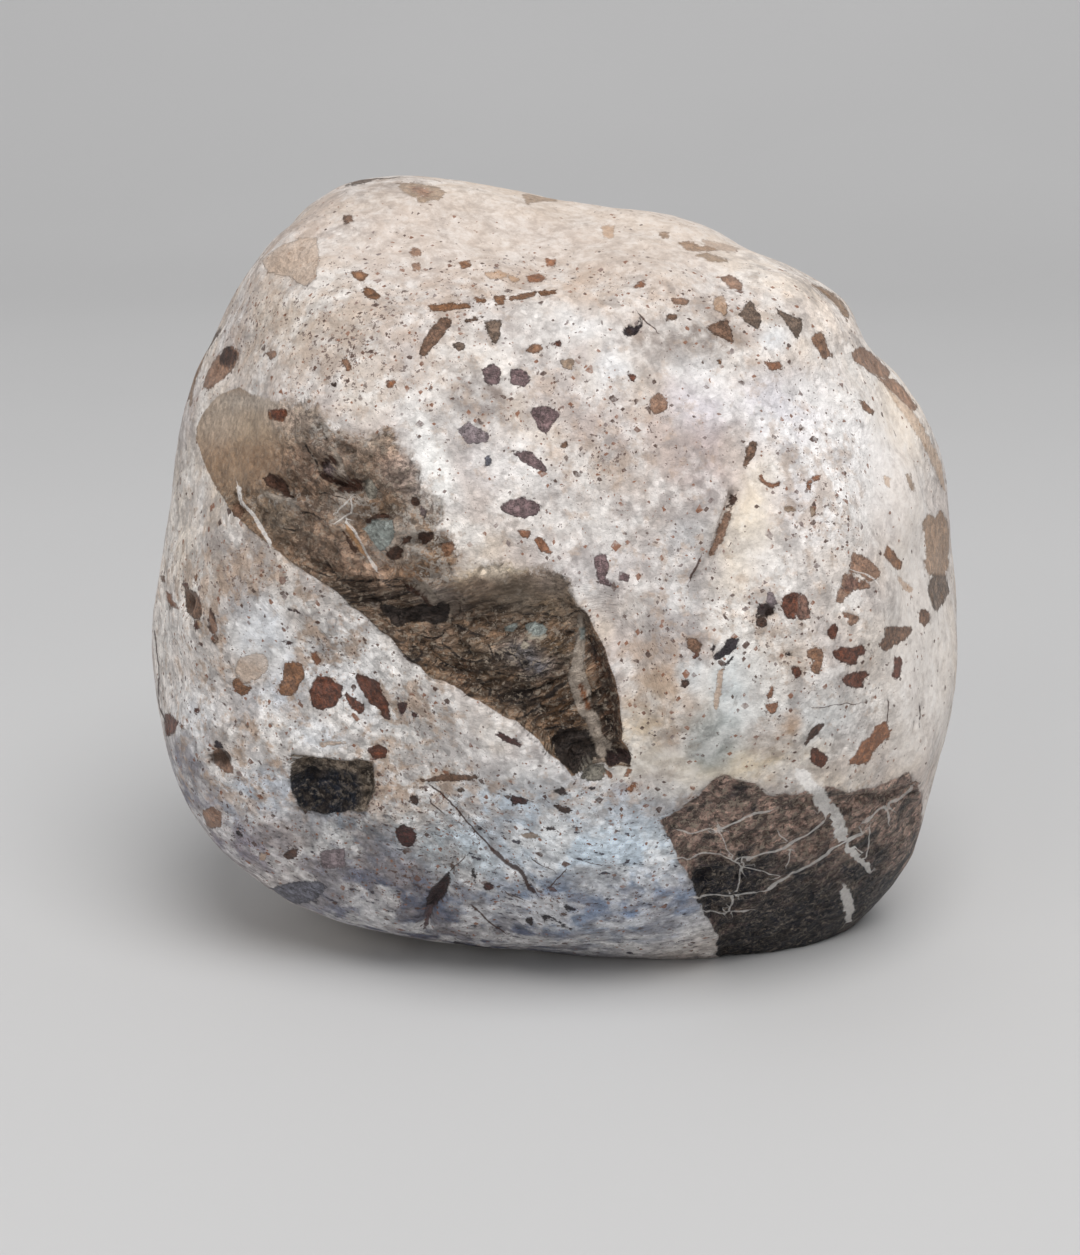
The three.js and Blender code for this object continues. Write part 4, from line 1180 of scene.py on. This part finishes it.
def paintMatrix(mesh, local, x, y, front):
    # slow colour of the matrix, how milky and how smoky it is, and where dark grains crowd; what is drawn on
    # the broad face fades out round its rim
    look = matrixLook
    faced = front * ease((local[:, 2] + 2) / 8)
    slow = ease(grain(local, 8, 51, 2) * 1.3 + 0.5)
    base = mixed(evenColour(look["cream"], len(x)), linearColour(look["pinkGrey"]), slow)
    warm = ease(grain(local, 5, 52, 2) * 1.6 - 0.1)
    base = mixed(base, linearColour(look["warm"]), warm * look["warmShare"])
    # the stains include painted shade and painted blue reflection low on the broad face
    colours, cover = patchColours(stainsAndLowShade, *strayed(local, x, y, 1, 2.6, 57), faced, look["cream"])
    setAttribute(mesh, "matrixTone", mixed(base, colours, cover))
    stirring = np.ones(len(x))
    for *patch, gone in quiet:
        stirring -= gone * stirring * bell(x, y, *patch, 4) * faced
    setAttribute(mesh, "milk", look["milkiness"] * grain(local, 3.2, 53, 3, 0.7) * stirring)
    setAttribute(mesh, "smoke", look["smokiness"] * grain(local, 2.6, 54, 3, 0.75) * stirring)
    setAttribute(mesh, "stirring", stirring)
    setAttribute(mesh, "streaky", ease((-y + look["streaksBelow"]) / 5) * faced)
    crowd = grain(local, 6, 55, 2) * look["crowding"]
    for patch in crowds:
        crowd += look["crowdGain"] * bell(x, y, *patch) * faced
    setAttribute(mesh, "crowd", crowd - look["quietLoss"] * (1 - stirring))
    stir = np.column_stack([grain(local, 1.3, 56 + i, 2) for i in range(3)])
    setAttribute(mesh, "stir", stir)


def paintWedge(local, x, y, front):
    # colour of the wedge clast, with painted shade in the low parts of its broken surface, its edge, soft
    # where it fades into the matrix, how strongly it is flaked, and its signed distance
    _, sign, toEdge, toRamp = wedgeShape(x, y)
    fade = (toEdge / (toEdge + toRamp + 1e-6)) ** 2 * ease((x + 32) / 8)
    ragged = sign + wedge["fading"] * fade * grain(local, 2.4, 61, 2, 0.75)
    edge = ragged / (0.12 + wedge["fading"] * fade)
    _, share, calm = wedgeBreakage(local, x, y, sign)
    places = strayed(local, x, y, 0.5, 1.8, 67)
    colours, cover = patchColours(wedgeStains, *places, front, wedge["tone"])
    colour = mixed(evenColour(wedge["tone"], len(x)), colours, cover)
    # painted shade: darker where the broken surface is low, most in its lower part
    low = (1 - share) ** 2 * (1 - calm) * (0.4 + 0.6 * ease((-y - 2) / 4))
    colour = mixed(colour, linearColour(wedge["hollowShadeTone"]), np.clip(1.3 * low, 0, 0.8))
    inside = (sign < 0.3) & front
    harsh = (1 - 0.75 * calm * inside) * (1 - 0.3 * inside * ease((y + 4) / 3))
    return colour, edge, harsh, sign


def paintClasts(mesh, local, x, y, front):
    # the three large clasts share one signed distance and one colour
    colour, edge, harsh, sign = paintWedge(local, x, y, front)
    flecked = np.ones(len(x))
    for clast in (block, veined):
        reach = outlineDistance(clast["outline"], x, y)
        # lighter at the top and at the right; the dark tones below are partly painted shade with a painted
        # blue reflection
        upper = ease((y - clast["lightFrom"]) / clast["lightRun"])
        upper = np.maximum(upper, 0.75 * ease((x - clast["lightRight"]) / 1.6))
        rim = ease((reach + clast["rim"]) / clast["rim"]) * (0.3 + 0.7 * upper)
        reach = reach + 0.4 * grain(local, 1.8, 66, 2, 0.7)
        mottle = ease(grain(local, 2, 63, 2, 0.8) * (1 + 1.2 * upper) - 0.45 + 1.75 * upper + 0.6 * rim)
        patchy = 0.75 * ease(grain(local, 3, 69, 3, 0.7) * 2.4 - 0.1)
        own = mixed(evenColour(clast["dark"], len(x)), linearColour(clast["patch"]), patchy)
        own = mixed(own, linearColour(clast["light"]), mottle)
        closer = reach < np.where(sign < 0, -5, np.minimum(edge, 1.5))
        colour = np.where(closer[:, None], own, colour)
        flecked = np.where(closer, 0.04 + 0.96 * np.maximum(mottle, 0.5 * patchy), flecked)
        edge = np.where(closer, reach / 0.2, edge)
        harsh = np.where(closer, clast["harsh"], harsh)
    inVeined = outlineDistance(veined["outline"], x, y)
    shown = front | ((inVeined < 0) & (local[:, 2] > -14))  # the veined clast wraps round the rim
    setAttribute(mesh, "clastEdge", np.where(shown, np.clip(edge, -farAway, farAway), farAway))
    setAttribute(mesh, "clastTone", colour)
    setAttribute(mesh, "flecked", flecked)
    streaming = ease((-y - 1) / 4) * ease((6 - sign) / 4) * ease((14 - x) / 6)
    setAttribute(mesh, "flow", mixed(local, wedgeFlow(local), streaming))
    setAttribute(mesh, "harsh", np.where(shown & (edge < 0), harsh, 0.3))
    net = np.zeros(len(x))
    for *patch, strength in breakups:
        net = np.maximum(net, strength * bell(x, y, *patch))
    setAttribute(mesh, "net", net * front)
    setAttribute(mesh, "veiny", ease(-inVeined / 0.5) * shown)


def makeMesh(name, points, faces):
    mesh = bpy.data.meshes.new(name)
    mesh.vertices.add(len(points))
    mesh.vertices.foreach_set("co", points.astype(np.float32).ravel())
    mesh.loops.add(faces.size)
    mesh.loops.foreach_set("vertex_index", faces.astype(np.int32).ravel())
    mesh.polygons.add(len(faces))
    mesh.polygons.foreach_set("loop_start", np.arange(0, faces.size, 4, dtype=np.int32))
    mesh.polygons.foreach_set("use_smooth", np.ones(len(faces), bool))
    mesh.update(calc_edges=True)
    mesh.validate()
    return mesh


def standing(direction, length):
    # the stone leant back on its flat spot, in mm: cut off level at the ground, then fitted to its CAD box
    lean = math.radians(cobble["lean"])
    axes = np.array([[1, 0, 0], [0, math.sin(lean), math.cos(lean)], [0, -math.cos(lean), math.sin(lean)]])
    world = direction @ axes
    downward = 0.2  # only directions that go down this much meet the ground
    toGround = cobble["centreHeight"] / np.maximum(downward, -world[:, 2])
    length = np.minimum(length, np.where(world[:, 2] < -downward, toGround, np.inf))
    world = world * length[:, None] + np.array([0, 0, cobble["centreHeight"]])
    low, high = np.array(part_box("puddingstone")[0]) * 1000, np.array(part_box("puddingstone")[1]) * 1000
    spread = (high - low) / (world.max(0) - world.min(0))
    print("cobble stretched to its CAD box by", np.round(spread, 4))
    return (world - world.min(0)) * spread + low, length


def stoneMesh():
    # the worn form, its relief and swells along each direction, then what is drawn on its surface
    direction, faces = patchDirections(cobble["meshCells"])
    radius = cobbleRadius(direction)
    local = direction * radius[:, None]
    x, y = onChart(local)
    front = direction[:, 2] > cobble["chartEdge"]
    facing = ease((direction[:, 2] - cobble["chartEdge"]) / cobble["chartFade"])
    sideDistance, sideTones = scatteredChips(local)
    frontDistance, _, _ = outlineMarks(chips, x, y, front)
    chartDepth, dirtAndShade = chartRelief(local, x, y, front)
    relief = facing * chartDepth + (1 - facing) * sideRelief(local)
    rise = np.zeros(len(local))  # weaker round the rim and where the face is broken into
    for a, b, c, phase, size in swells:
        rise += size * np.sin(local @ np.array([a, b, c]) + phase)
    rise *= (0.35 + 0.65 * ease(np.abs(direction[:, 2]) / 0.4)) * ease((1.2 - relief) / 1.2)
    fine, pores = fineRelief(local, np.minimum(frontDistance, sideDistance))
    world, length = standing(direction, radius - relief + rise + fine)
    mesh = makeMesh("puddingstoneCobble", world * 0.001, faces)

    local = direction * length[:, None]
    x, y = onChart(local)
    chartDistance, chartTones, _ = outlineMarks(chips + wedgeParts, x, y, front)
    beyond = 4 - local[:, 2] + 1.5 * grain(local, 2.2, 73, 2)  # chips of the face end just round its rim
    chartDistance = np.maximum(chartDistance, beyond * 0.5)
    chosen = (chartDistance < sideDistance)[:, None]
    setAttribute(mesh, "chipEdge", np.minimum(chartDistance, sideDistance))
    setAttribute(mesh, "chipTone", np.where(chosen, chartTones, sideTones))
    # cracks, pits and open pores painted darker: dirt, and painted shade in these hollows
    setAttribute(mesh, "dirtAndShade", np.clip(dirtAndShade * facing + 0.5 * pores, 0, 1))
    paintMatrix(mesh, local, x, y, front)
    paintClasts(mesh, local, x, y, front)
    x, y = strayed(local, x, y, 0.28, 1.5, 71, 2, 0.5)
    for name, rows, least in (("vein", veins, 0.55), ("hair", hairlines + crevices, 1)):
        across, near, width = lineMarks(rows, x, y, front, least)
        setAttribute(mesh, name + "Across", across / width)
        setAttribute(mesh, name + "Near", near)
    return mesh


stoneSurface = stoneMesh()
puddingstone = bpy.data.objects.new("puddingstoneCobble", stoneSurface)
bpy.context.scene.collection.objects.link(puddingstone)
print("cobble mesh:", len(stoneSurface.vertices), "points,", len(stoneSurface.polygons), "faces")


# finish of the stone
stoneLook = {
    "milk": (245, 241, 237),
    "smoke": (168, 160, 157),  # clear grains that let the dark show
    "smudge": (182, 157, 136),
    "crystals": 1.5,  # per mm
    "grainDark": (84, 64, 56),
    "grainRust": (138, 94, 70),
    "grainGrey": (132, 118, 114),
    "seam": (34, 27, 25),  # between the flakes of the large clasts
    "fleck": (162, 148, 132),
    "netTone": (192, 184, 175),
    "flakeScale": 1.0,  # cells per mm
    "smallFlakes": 2.6,  # how many times finer the small ones are
    # tone of the dirt and painted shade in cracks, pits and pores
    "grimeAndShade": (70, 55, 45),
    "streakTone": (64, 60, 68),
    "vein": (248, 243, 238),
    "hairline": (70, 50, 43),
    # strewn grains: cells per mm, rarity, size in the cell
    "grains": [(3.1, 0.9, 0.34), (1.8, 0.845, 0.37), (0.95, 0.895, 0.34)],
    "roughness": 0.62,
    "darkRoughness": 0.42,
    "reliefDepth": 0.0008,  # metres
    "specular": 0.3,
    "index": 1.5,
    # noises: cells per mm, finer layers, their strength
    "fineGrain": (1.9, 3, 0.75),
    "coarseGrain": (0.9, 3, 0.7),
    "tornGrain": (1.6, 4, 0.75),
    "smudgeGrain": (0.6, 4, 0.7),
    "streakGrain": (1.25, 3, 0.7),
    "threadGrain": (0.55, 3, 0.65),
    "netGrain": (0.95, 2, 0.6),
    "streakStretch": (0.55, 1, 1),
    "stirred": 0.35,  # mm, how far the matrix is pushed about by slow noise
}


def tone(rgb):
    return (*[float(v) for v in linearColour(rgb)], 1)


def feed(tree, socket, value):
    if isinstance(value, bpy.types.NodeSocket):
        tree.links.new(value, socket)
    else:
        socket.default_value = value


def addNode(tree, kind, output=0, settings=None, **inputs):
    # one node; underscores in an input's name stand for spaces
    node = tree.nodes.new(kind)
    for name, value in (settings or {}).items():
        setattr(node, name, value)
    for name, value in inputs.items():
        feed(tree, node.inputs[name.replace("_", " ")], value)
    return node.outputs[output]


def attribute(tree, name, output="Fac"):
    return addNode(tree, "ShaderNodeAttribute", output, {"attribute_name": name})


def noise(tree, where, scale, detail=3, rough=0.55):
    return addNode(tree, "ShaderNodeTexNoise", 0, Vector=where, Scale=scale, Detail=detail, Roughness=rough)


def band(tree, value, low, high, start=0.0, end=1.0):
    # an S from start to end while the value goes from low to high
    return addNode(tree, "ShaderNodeMapRange", 0, {"interpolation_type": "SMOOTHSTEP"}, Value=value,
                   From_Min=low, From_Max=high, To_Min=start, To_Max=end)


def maths(tree, operation, *values):
    node = tree.nodes.new("ShaderNodeMath")
    node.operation = operation
    for socket, value in zip(node.inputs, values):
        feed(tree, socket, value)
    return node.outputs[0]


def times(tree, *values):
    total = values[0]
    for value in values[1:]:
        total = maths(tree, "MULTIPLY", total, value)
    return total


def scaled(tree, value, by, plus):
    # value * by + plus
    return maths(tree, "MULTIPLY_ADD", value, by, plus)


def moved(tree, value, by, amount):
    # a value pushed up and down by noise about its middle
    return scaled(tree, maths(tree, "SUBTRACT", by, 0.5), amount, value)


def steadied(tree, amount, share):
    # a lightness brought nearer to 1 where its share is small
    return scaled(tree, maths(tree, "SUBTRACT", amount, 1), share, 1)


def fromMiddle(tree, value):
    # distance of a noise from its middle: small along winding lines
    return maths(tree, "ABSOLUTE", maths(tree, "SUBTRACT", value, 0.5))


def layer(tree, cover, under, over, how="MIX"):
    node = tree.nodes.new("ShaderNodeMix")
    node.data_type = "RGBA"
    node.blend_type = how
    feed(tree, node.inputs[0], cover)
    feed(tree, node.inputs[6], under)
    feed(tree, node.inputs[7], over)
    return node.outputs[2]


def shade(tree, colour, amount):
    # a colour made lighter or darker by a number
    grey = addNode(tree, "ShaderNodeCombineColor", 0, None, Red=amount, Green=amount, Blue=amount)
    return layer(tree, 1.0, colour, grey, "MULTIPLY")


def channel(tree, colour, name):
    return addNode(tree, "ShaderNodeSeparateColor", name, None, Color=colour)


def cells(tree, where, scale, metric="EUCLIDEAN"):
    # a cell pattern's distance to the nearest middle, and that cell's random colour
    node = tree.nodes.new("ShaderNodeTexVoronoi")
    node.distance = metric
    feed(tree, node.inputs["Vector"], where)
    node.inputs["Scale"].default_value = scale
    return node.outputs["Distance"], node.outputs["Color"]


def flakes(tree, flow):
    # distance to the middle of a large flake and its random colour, and that of a small flake
    large, largeKind = cells(tree, flow, stoneLook["flakeScale"])
    _, smallKind = cells(tree, flow, stoneLook["flakeScale"] * stoneLook["smallFlakes"])
    return large, largeKind, smallKind


def strewnGrains(tree, where, crowd, scale, rarity, rim):
    # small angular grains: cells of a diamond metric, few of them filled, more where they crowd
    away, colour = cells(tree, where, scale, "MANHATTAN")
    chance = scaled(tree, crowd, 0.16, channel(tree, colour, 0))
    size = scaled(tree, channel(tree, colour, 2), 0.25, rim - 0.1)
    inside = maths(tree, "SUBTRACT", size, away)
    spot = times(tree, band(tree, chance, rarity, rarity + 0.02), band(tree, inside, -0.05, 0.05))
    return spot, channel(tree, colour, 1)


def levelStreaks(tree, where, matrix):
    # light and dark streaks, drawn out level, low on the stone
    look = stoneLook
    streaky = attribute(tree, "streaky")
    squeezed = addNode(tree, "ShaderNodeMapping", 0, None, Vector=where, Scale=look["streakStretch"])
    streak = noise(tree, squeezed, *look["streakGrain"])
    matrix = shade(tree, matrix, steadied(tree, band(tree, streak, 0.36, 0.62, 0.8, 1.18), streaky))
    cover = times(tree, band(tree, streak, 0.375, 0.335), streaky, 0.95)
    return layer(tree, cover, matrix, tone(look["streakTone"]))


def matrixColour(tree, where, stirred, fine, coarse):
    # pale matrix: milky and smoky grains over its slow colour, sugary crystals, tan smudges,
    # and dark, rusty and grey grains strewn through it
    look = stoneLook
    own = attribute(tree, "matrixTone", "Color")
    stirring = attribute(tree, "stirring")
    crowd = attribute(tree, "crowd")
    milky = band(tree, moved(tree, attribute(tree, "milk"), coarse, 1.3), -0.3, 0.5, 0, 0.9)
    matrix = layer(tree, milky, own, layer(tree, 0.6, own, tone(look["milk"])))
    smoky = band(tree, moved(tree, attribute(tree, "smoke"), coarse, -1.6), -0.15, 0.6, 0, 0.75)
    matrix = layer(tree, smoky, matrix, layer(tree, 0.5, shade(tree, own, 0.66), tone(look["smoke"])))
    smudge = noise(tree, where, *look["smudgeGrain"])
    smudged = band(tree, scaled(tree, crowd, 0.12, smudge), 0.54, 0.7, 0, 0.5)
    smudged = times(tree, smudged, stirring, scaled(tree, attribute(tree, "streaky"), -0.85, 1))
    matrix = layer(tree, smudged, matrix, tone(look["smudge"]))
    away, kind = cells(tree, stirred, look["crystals"])
    crystal = scaled(tree, channel(tree, kind, 1), 0.3, 0.87)
    crystal = times(tree, crystal, band(tree, away, 0.25, 0.75, 1.03, 0.9))
    matrix = shade(tree, matrix, steadied(tree, crystal, stirring))
    matrix = shade(tree, matrix, steadied(tree, band(tree, fine, 0.32, 0.68, 0.87, 1.09), stirring))
    matrix = levelStreaks(tree, where, matrix)
    for scale, rarity, rim in look["grains"]:
        spot, kind = strewnGrains(tree, stirred, crowd, scale, rarity, rim)
        spotTone = layer(tree, band(tree, kind, 0.3, 0.5), tone(look["grainDark"]), tone(look["grainRust"]))
        spotTone = layer(tree, band(tree, kind, 0.7, 0.9), spotTone, tone(look["grainGrey"]))
        matrix = layer(tree, times(tree, spot, band(tree, fine, 0.35, 0.55, 0.5, 0.95)), matrix, spotTone)
    speck = band(tree, scaled(tree, crowd, 0.06, fine), 0.655, 0.69)
    return layer(tree, times(tree, speck, 0.75), matrix, tone(look["grainDark"]))


def mottled(tree, colour, by, dark, pale, share, paleTone):
    # darker where a noise is low, towards a pale tone where it is high
    darker = shade(tree, colour, steadied(tree, band(tree, by, 0.32, 0.52, dark, 1), share))
    return layer(tree, times(tree, band(tree, by, 0.48, 0.68, 0, pale), share), darker, paleTone)


def clastColour(tree, where, flow, fine, coarse, torn):
    # broken clast: two sizes of flakes, each of its own lightness, with dark seams and cracks, pale flecks,
    # thin veins, and a lacy pale net where it breaks up
    look = stoneLook
    fleckTone = tone(look["fleck"])
    harsh = attribute(tree, "harsh")
    colour = mottled(tree, attribute(tree, "clastTone", "Color"), torn, 0.5, 0.5,
                     scaled(tree, harsh, 0.7, 0.3), fleckTone)
    away, kind, smallKind = flakes(tree, flow)
    lightness = times(tree, scaled(tree, channel(tree, kind, 0), 0.65, 0.8),
                      scaled(tree, channel(tree, smallKind, 0), 1.2, 0.55))
    colour = shade(tree, colour, steadied(tree, lightness, harsh))
    seam = times(tree, band(tree, moved(tree, away, torn, 1.1), 0.56, 0.66), harsh)
    cracked = band(tree, fromMiddle(tree, coarse), 0.02, 0.005)
    cracked = times(tree, cracked, band(tree, fine, 0.42, 0.5), harsh)
    fleck = times(tree, band(tree, fine, 0.545, 0.6), harsh, attribute(tree, "flecked"))
    lace = fromMiddle(tree, noise(tree, where, *look["threadGrain"]))
    thread = times(tree, band(tree, lace, 0.012, 0.003), attribute(tree, "veiny"))
    lace = fromMiddle(tree, noise(tree, where, *look["netGrain"]))
    lacy = maths(tree, "MAXIMUM", band(tree, lace, 0.07, 0.02, 0, 0.7), band(tree, fine, 0.5, 0.6, 0, 0.8))
    net = times(tree, lacy, band(tree, moved(tree, attribute(tree, "net"), coarse, 1.5), 0.1, 0.6))
    # from the lowest up: cover, strength, tone
    over = ((seam, 0.6, "seam"), (cracked, 0.8, "seam"), (fleck, 0.75, "fleck"), (thread, 0.6, "fleck"),
            (net, 0.85, "netTone"))
    for cover, strength, name in over:
        colour = layer(tree, times(tree, cover, strength), colour, tone(look[name]))
    return colour


def chipColour(tree, edge, fine, coarse):
    # chip: mottled, darker along its rim, which is partly painted shadow where it lies lower than the
    # matrix, and along a few cracks; pale chips are plainer
    own = attribute(tree, "chipTone", "Color")
    depth = band(tree, channel(tree, own, 0), 0.1, 0.6, 1, 0.25)
    paler = shade(tree, own, 1.9)
    colour = mottled(tree, own, coarse, 0.45, 0.8, depth, paler)
    colour = mottled(tree, colour, fine, 0.5, 0.8, depth, paler)
    # the dark rim: partly a darker border, partly painted shadow at the edge of a chip that lies lower
    rim = times(tree, band(tree, edge, -0.3, -0.04), band(tree, coarse, 0.42, 0.55), 0.45)
    crack = band(tree, fromMiddle(tree, coarse), 0.024, 0.008, 0, 0.6)
    darker = maths(tree, "SUBTRACT", 1, maths(tree, "MAXIMUM", rim, crack))
    return shade(tree, colour, steadied(tree, darker, depth))


def linesDirtAndShade(tree, surface, fine, coarse, torn, clastCover):
    # pale veins, dark hairlines that break off in the matrix less than in the clasts, and dirt with painted
    # shade in the cracks and pits, darker where they are deeper
    look = stoneLook
    wide = moved(tree, maths(tree, "ABSOLUTE", attribute(tree, "veinAcross")), coarse, 2.8)
    vein = times(tree, band(tree, wide, 1.6, 1.1), attribute(tree, "veinNear"), 0.95)
    veinTone = shade(tree, tone(look["vein"]), band(tree, fine, 0.3, 0.6, 0.88, 1.1))
    surface = layer(tree, vein, surface, veinTone)
    wide = moved(tree, maths(tree, "ABSOLUTE", attribute(tree, "hairAcross")), fine, 2.2)
    hair = times(tree, band(tree, wide, 1.4, 0.6), attribute(tree, "hairNear"), 0.9)
    hair = times(tree, hair, steadied(tree, band(tree, torn, 0.4, 0.55, 0.2, 1), clastCover))
    hairTone = layer(tree, clastCover, tone(look["hairline"]), tone(look["seam"]))
    surface = layer(tree, hair, surface, hairTone)
    # dirt and painted shade in cracks, pits and pores
    dirtAndShade = band(tree, moved(tree, attribute(tree, "dirtAndShade"), coarse, 0.6), 0.3, 0.8, 0, 0.85)
    return layer(tree, dirtAndShade, surface, tone(look["grimeAndShade"]))


def surfaceHeight(tree, flow, fine, torn, chipCover):
    # small relief: domed flakes and torn grain where it is harsh or on a chip, less in plain matrix
    away, _, smallKind = flakes(tree, flow)
    height = scaled(tree, away, -0.35, scaled(tree, fine, 0.35, torn))
    height = scaled(tree, channel(tree, smallKind, 0), 0.15, height)
    rough = maths(tree, "MAXIMUM", attribute(tree, "harsh"), times(tree, chipCover, 0.8))
    height = times(tree, height, rough, band(tree, attribute(tree, "stirring"), 0.1, 0.9, 0.4, 1))
    return scaled(tree, chipCover, -0.16, height)  # chips lie a little lower


def stoneMaterial():
    look = stoneLook
    material = bpy.data.materials.new("puddingstoneSurface")
    material.use_nodes = True
    tree = material.node_tree
    tree.nodes.clear()
    place = addNode(tree, "ShaderNodeTexCoord", "Object")
    where = addNode(tree, "ShaderNodeMapping", 0, None, Vector=place, Scale=(1000, 1000, 1000))  # in mm
    pushed = addNode(tree, "ShaderNodeVectorMath", 0, {"operation": "SCALE"},
                     Vector=attribute(tree, "stir", "Vector"), Scale=look["stirred"])
    adding = tree.nodes.new("ShaderNodeVectorMath")  # it adds, as it comes
    feed(tree, adding.inputs[0], pushed)
    feed(tree, adding.inputs[1], where)
    stirred = adding.outputs[0]
    fine = noise(tree, where, *look["fineGrain"])
    coarse = noise(tree, stirred, *look["coarseGrain"])
    flow = attribute(tree, "flow", "Vector")
    torn = noise(tree, flow, *look["tornGrain"])

    surface = matrixColour(tree, where, stirred, fine, coarse)
    clastEdge = moved(tree, moved(tree, attribute(tree, "clastEdge"), coarse, 2), fine, 1.2)
    clastCover = band(tree, clastEdge, 0.5, -0.5)
    surface = layer(tree, clastCover, surface, clastColour(tree, where, flow, fine, coarse, torn))

    chipEdge = moved(tree, moved(tree, attribute(tree, "chipEdge"), coarse, 0.5), fine, 0.6)
    chipCover = band(tree, chipEdge, 0.07, -0.07)
    chipPale = channel(tree, attribute(tree, "chipTone", "Color"), 0)
    solid = band(tree, chipPale, 0.25, 0.6, 0.95, 0.55)  # the matrix shows through pale ones
    chipShare = times(tree, chipCover, maths(tree, "MAXIMUM", solid, times(tree, clastCover, 0.9)))
    surface = layer(tree, chipShare, surface, chipColour(tree, chipEdge, fine, coarse))
    surface = linesDirtAndShade(tree, surface, fine, coarse, torn, clastCover)

    roughness = addNode(tree, "ShaderNodeMapRange", 0, None, To_Min=look["roughness"],
                        To_Max=look["darkRoughness"], Value=maths(tree, "MAXIMUM", chipCover, clastCover))
    bump = addNode(tree, "ShaderNodeBump", 0, None, Strength=1.0, Distance=look["reliefDepth"],
                   Height=surfaceHeight(tree, flow, fine, torn, chipCover))
    bsdf = addNode(tree, "ShaderNodeBsdfPrincipled", 0, None, Base_Color=surface, Roughness=roughness,
                   Normal=bump, IOR=look["index"], Specular_IOR_Level=look["specular"])
    output = tree.nodes.new("ShaderNodeOutputMaterial")
    tree.links.new(bsdf, output.inputs["Surface"])
    return material


stoneSurface.materials.append(stoneMaterial())
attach(puddingstone, "root")
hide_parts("puddingstone")
print("stone dressed")

# floor, light and camera, in metres
studio = {
    "halfWidth": 1.6,  # of the floor
    "front": -1.2,  # the floor runs from here
    "back": 0.55,  # to here, then sweeps up
    "sweep": 0.6,  # radius of the curve
    "height": 1.2,  # of the wall
    "floorTone": (204, 203, 202),
    "floorGrain": 6.0,  # cells per metre
    "floorRoughness": 0.7,
    "skyTone": (226, 228, 232),
    "skyStrength": 0.45,
    "keyPlace": (0.22, -0.8, 1.35),
    "keySize": 1.1,
    "keyPower": 20.0,
    "fillPlace": (-0.7, -1.1, 0.6),
    "fillSize": 0.9,
    "fillPower": 3.0,
    "lampAim": (0, 0, 0.035),
}
view = {
    "imageSize": (1080, 1255),
    "focalPixels": 2500,
    "stoneCentre": (554, 567),  # pixel of the stone's middle
    "distance": 0.25,
    "sensorWidth": 36,  # mm
    "nearClip": 0.01,
}


def floorMaterial():
    material = bpy.data.materials.new("studioFloor")
    material.use_nodes = True
    tree = material.node_tree
    bsdf = tree.nodes["Principled BSDF"]
    place = addNode(tree, "ShaderNodeTexCoord", "Object")
    faint = band(tree, noise(tree, place, studio["floorGrain"], 2), 0.3, 0.7, 0.98, 1.0)
    tree.links.new(shade(tree, tone(studio["floorTone"]), faint), bsdf.inputs["Base Color"])
    bsdf.inputs["Roughness"].default_value = studio["floorRoughness"]
    return material


def makeFloor():
    # a level floor that turns up into a wall: straight run, quarter circle, straight rise
    turn = np.linspace(0, math.pi / 2, 25)
    sweep, back = studio["sweep"], studio["back"]
    profile = np.concatenate([
        [(studio["front"], 0)],
        np.column_stack([back + sweep * np.sin(turn), sweep * (1 - np.cos(turn))]),
        [(back + sweep, studio["height"])],
    ])
    half = studio["halfWidth"]
    points = np.concatenate([np.column_stack([np.full(len(profile), x), profile]) for x in (-half, half)])
    first = np.arange(len(profile) - 1)
    other = first + len(profile)
    mesh = makeMesh("studioFloor", points, np.column_stack([first, other, other + 1, first + 1]))
    floor = bpy.data.objects.new("studioFloor", mesh)
    bpy.context.scene.collection.objects.link(floor)
    mesh.materials.append(floorMaterial())


def makeLamp(name, place, size, power):
    lamp = bpy.data.lights.new(name, "AREA")
    lamp.shape = "DISK"
    lamp.size = size
    lamp.energy = power
    holder = bpy.data.objects.new(name, lamp)
    holder.location = place
    toAim = Vector(studio["lampAim"]) - Vector(place)
    holder.rotation_euler = toAim.to_track_quat("-Z", "Y").to_euler()
    bpy.context.scene.collection.objects.link(holder)


def makeCamera():
    # square to the broad face, and aimed so that the stone's middle falls on its pixel
    lean = math.radians(cobble["lean"])
    forward = Vector((0, -math.cos(lean), math.sin(lean)))
    up = Vector((0, math.sin(lean), math.cos(lean)))
    middle = Vector((0, 0, cobble["centreHeight"] * 0.001))
    perPixel = view["distance"] / view["focalPixels"]
    offX = view["stoneCentre"][0] - view["imageSize"][0] / 2
    offY = view["imageSize"][1] / 2 - view["stoneCentre"][1]
    aim = middle - Vector((1, 0, 0)) * offX * perPixel - up * offY * perPixel
    lens = bpy.data.cameras.new("camera")
    lens.sensor_width = view["sensorWidth"]
    lens.lens = view["focalPixels"] / view["imageSize"][1] * view["sensorWidth"]
    lens.clip_start = view["nearClip"]
    camera = bpy.data.objects.new("camera", lens)
    camera.location = middle + forward * view["distance"]
    camera.rotation_euler = (aim - camera.location).to_track_quat("-Z", "Y").to_euler()
    bpy.context.scene.collection.objects.link(camera)
    bpy.context.scene.camera = camera


def makeSky():
    world = bpy.data.worlds.new("studioSky")
    world.use_nodes = True
    sky = world.node_tree.nodes["Background"]
    sky.inputs["Color"].default_value = tone(studio["skyTone"])
    sky.inputs["Strength"].default_value = studio["skyStrength"]
    bpy.context.scene.world = world


makeFloor()
makeSky()
makeLamp("keyLight", studio["keyPlace"], studio["keySize"], studio["keyPower"])
makeLamp("fillLight", studio["fillPlace"], studio["fillSize"], studio["fillPower"])
makeCamera()
bpy.context.scene.view_settings.view_transform = "Standard"
print("floor, light and camera placed")
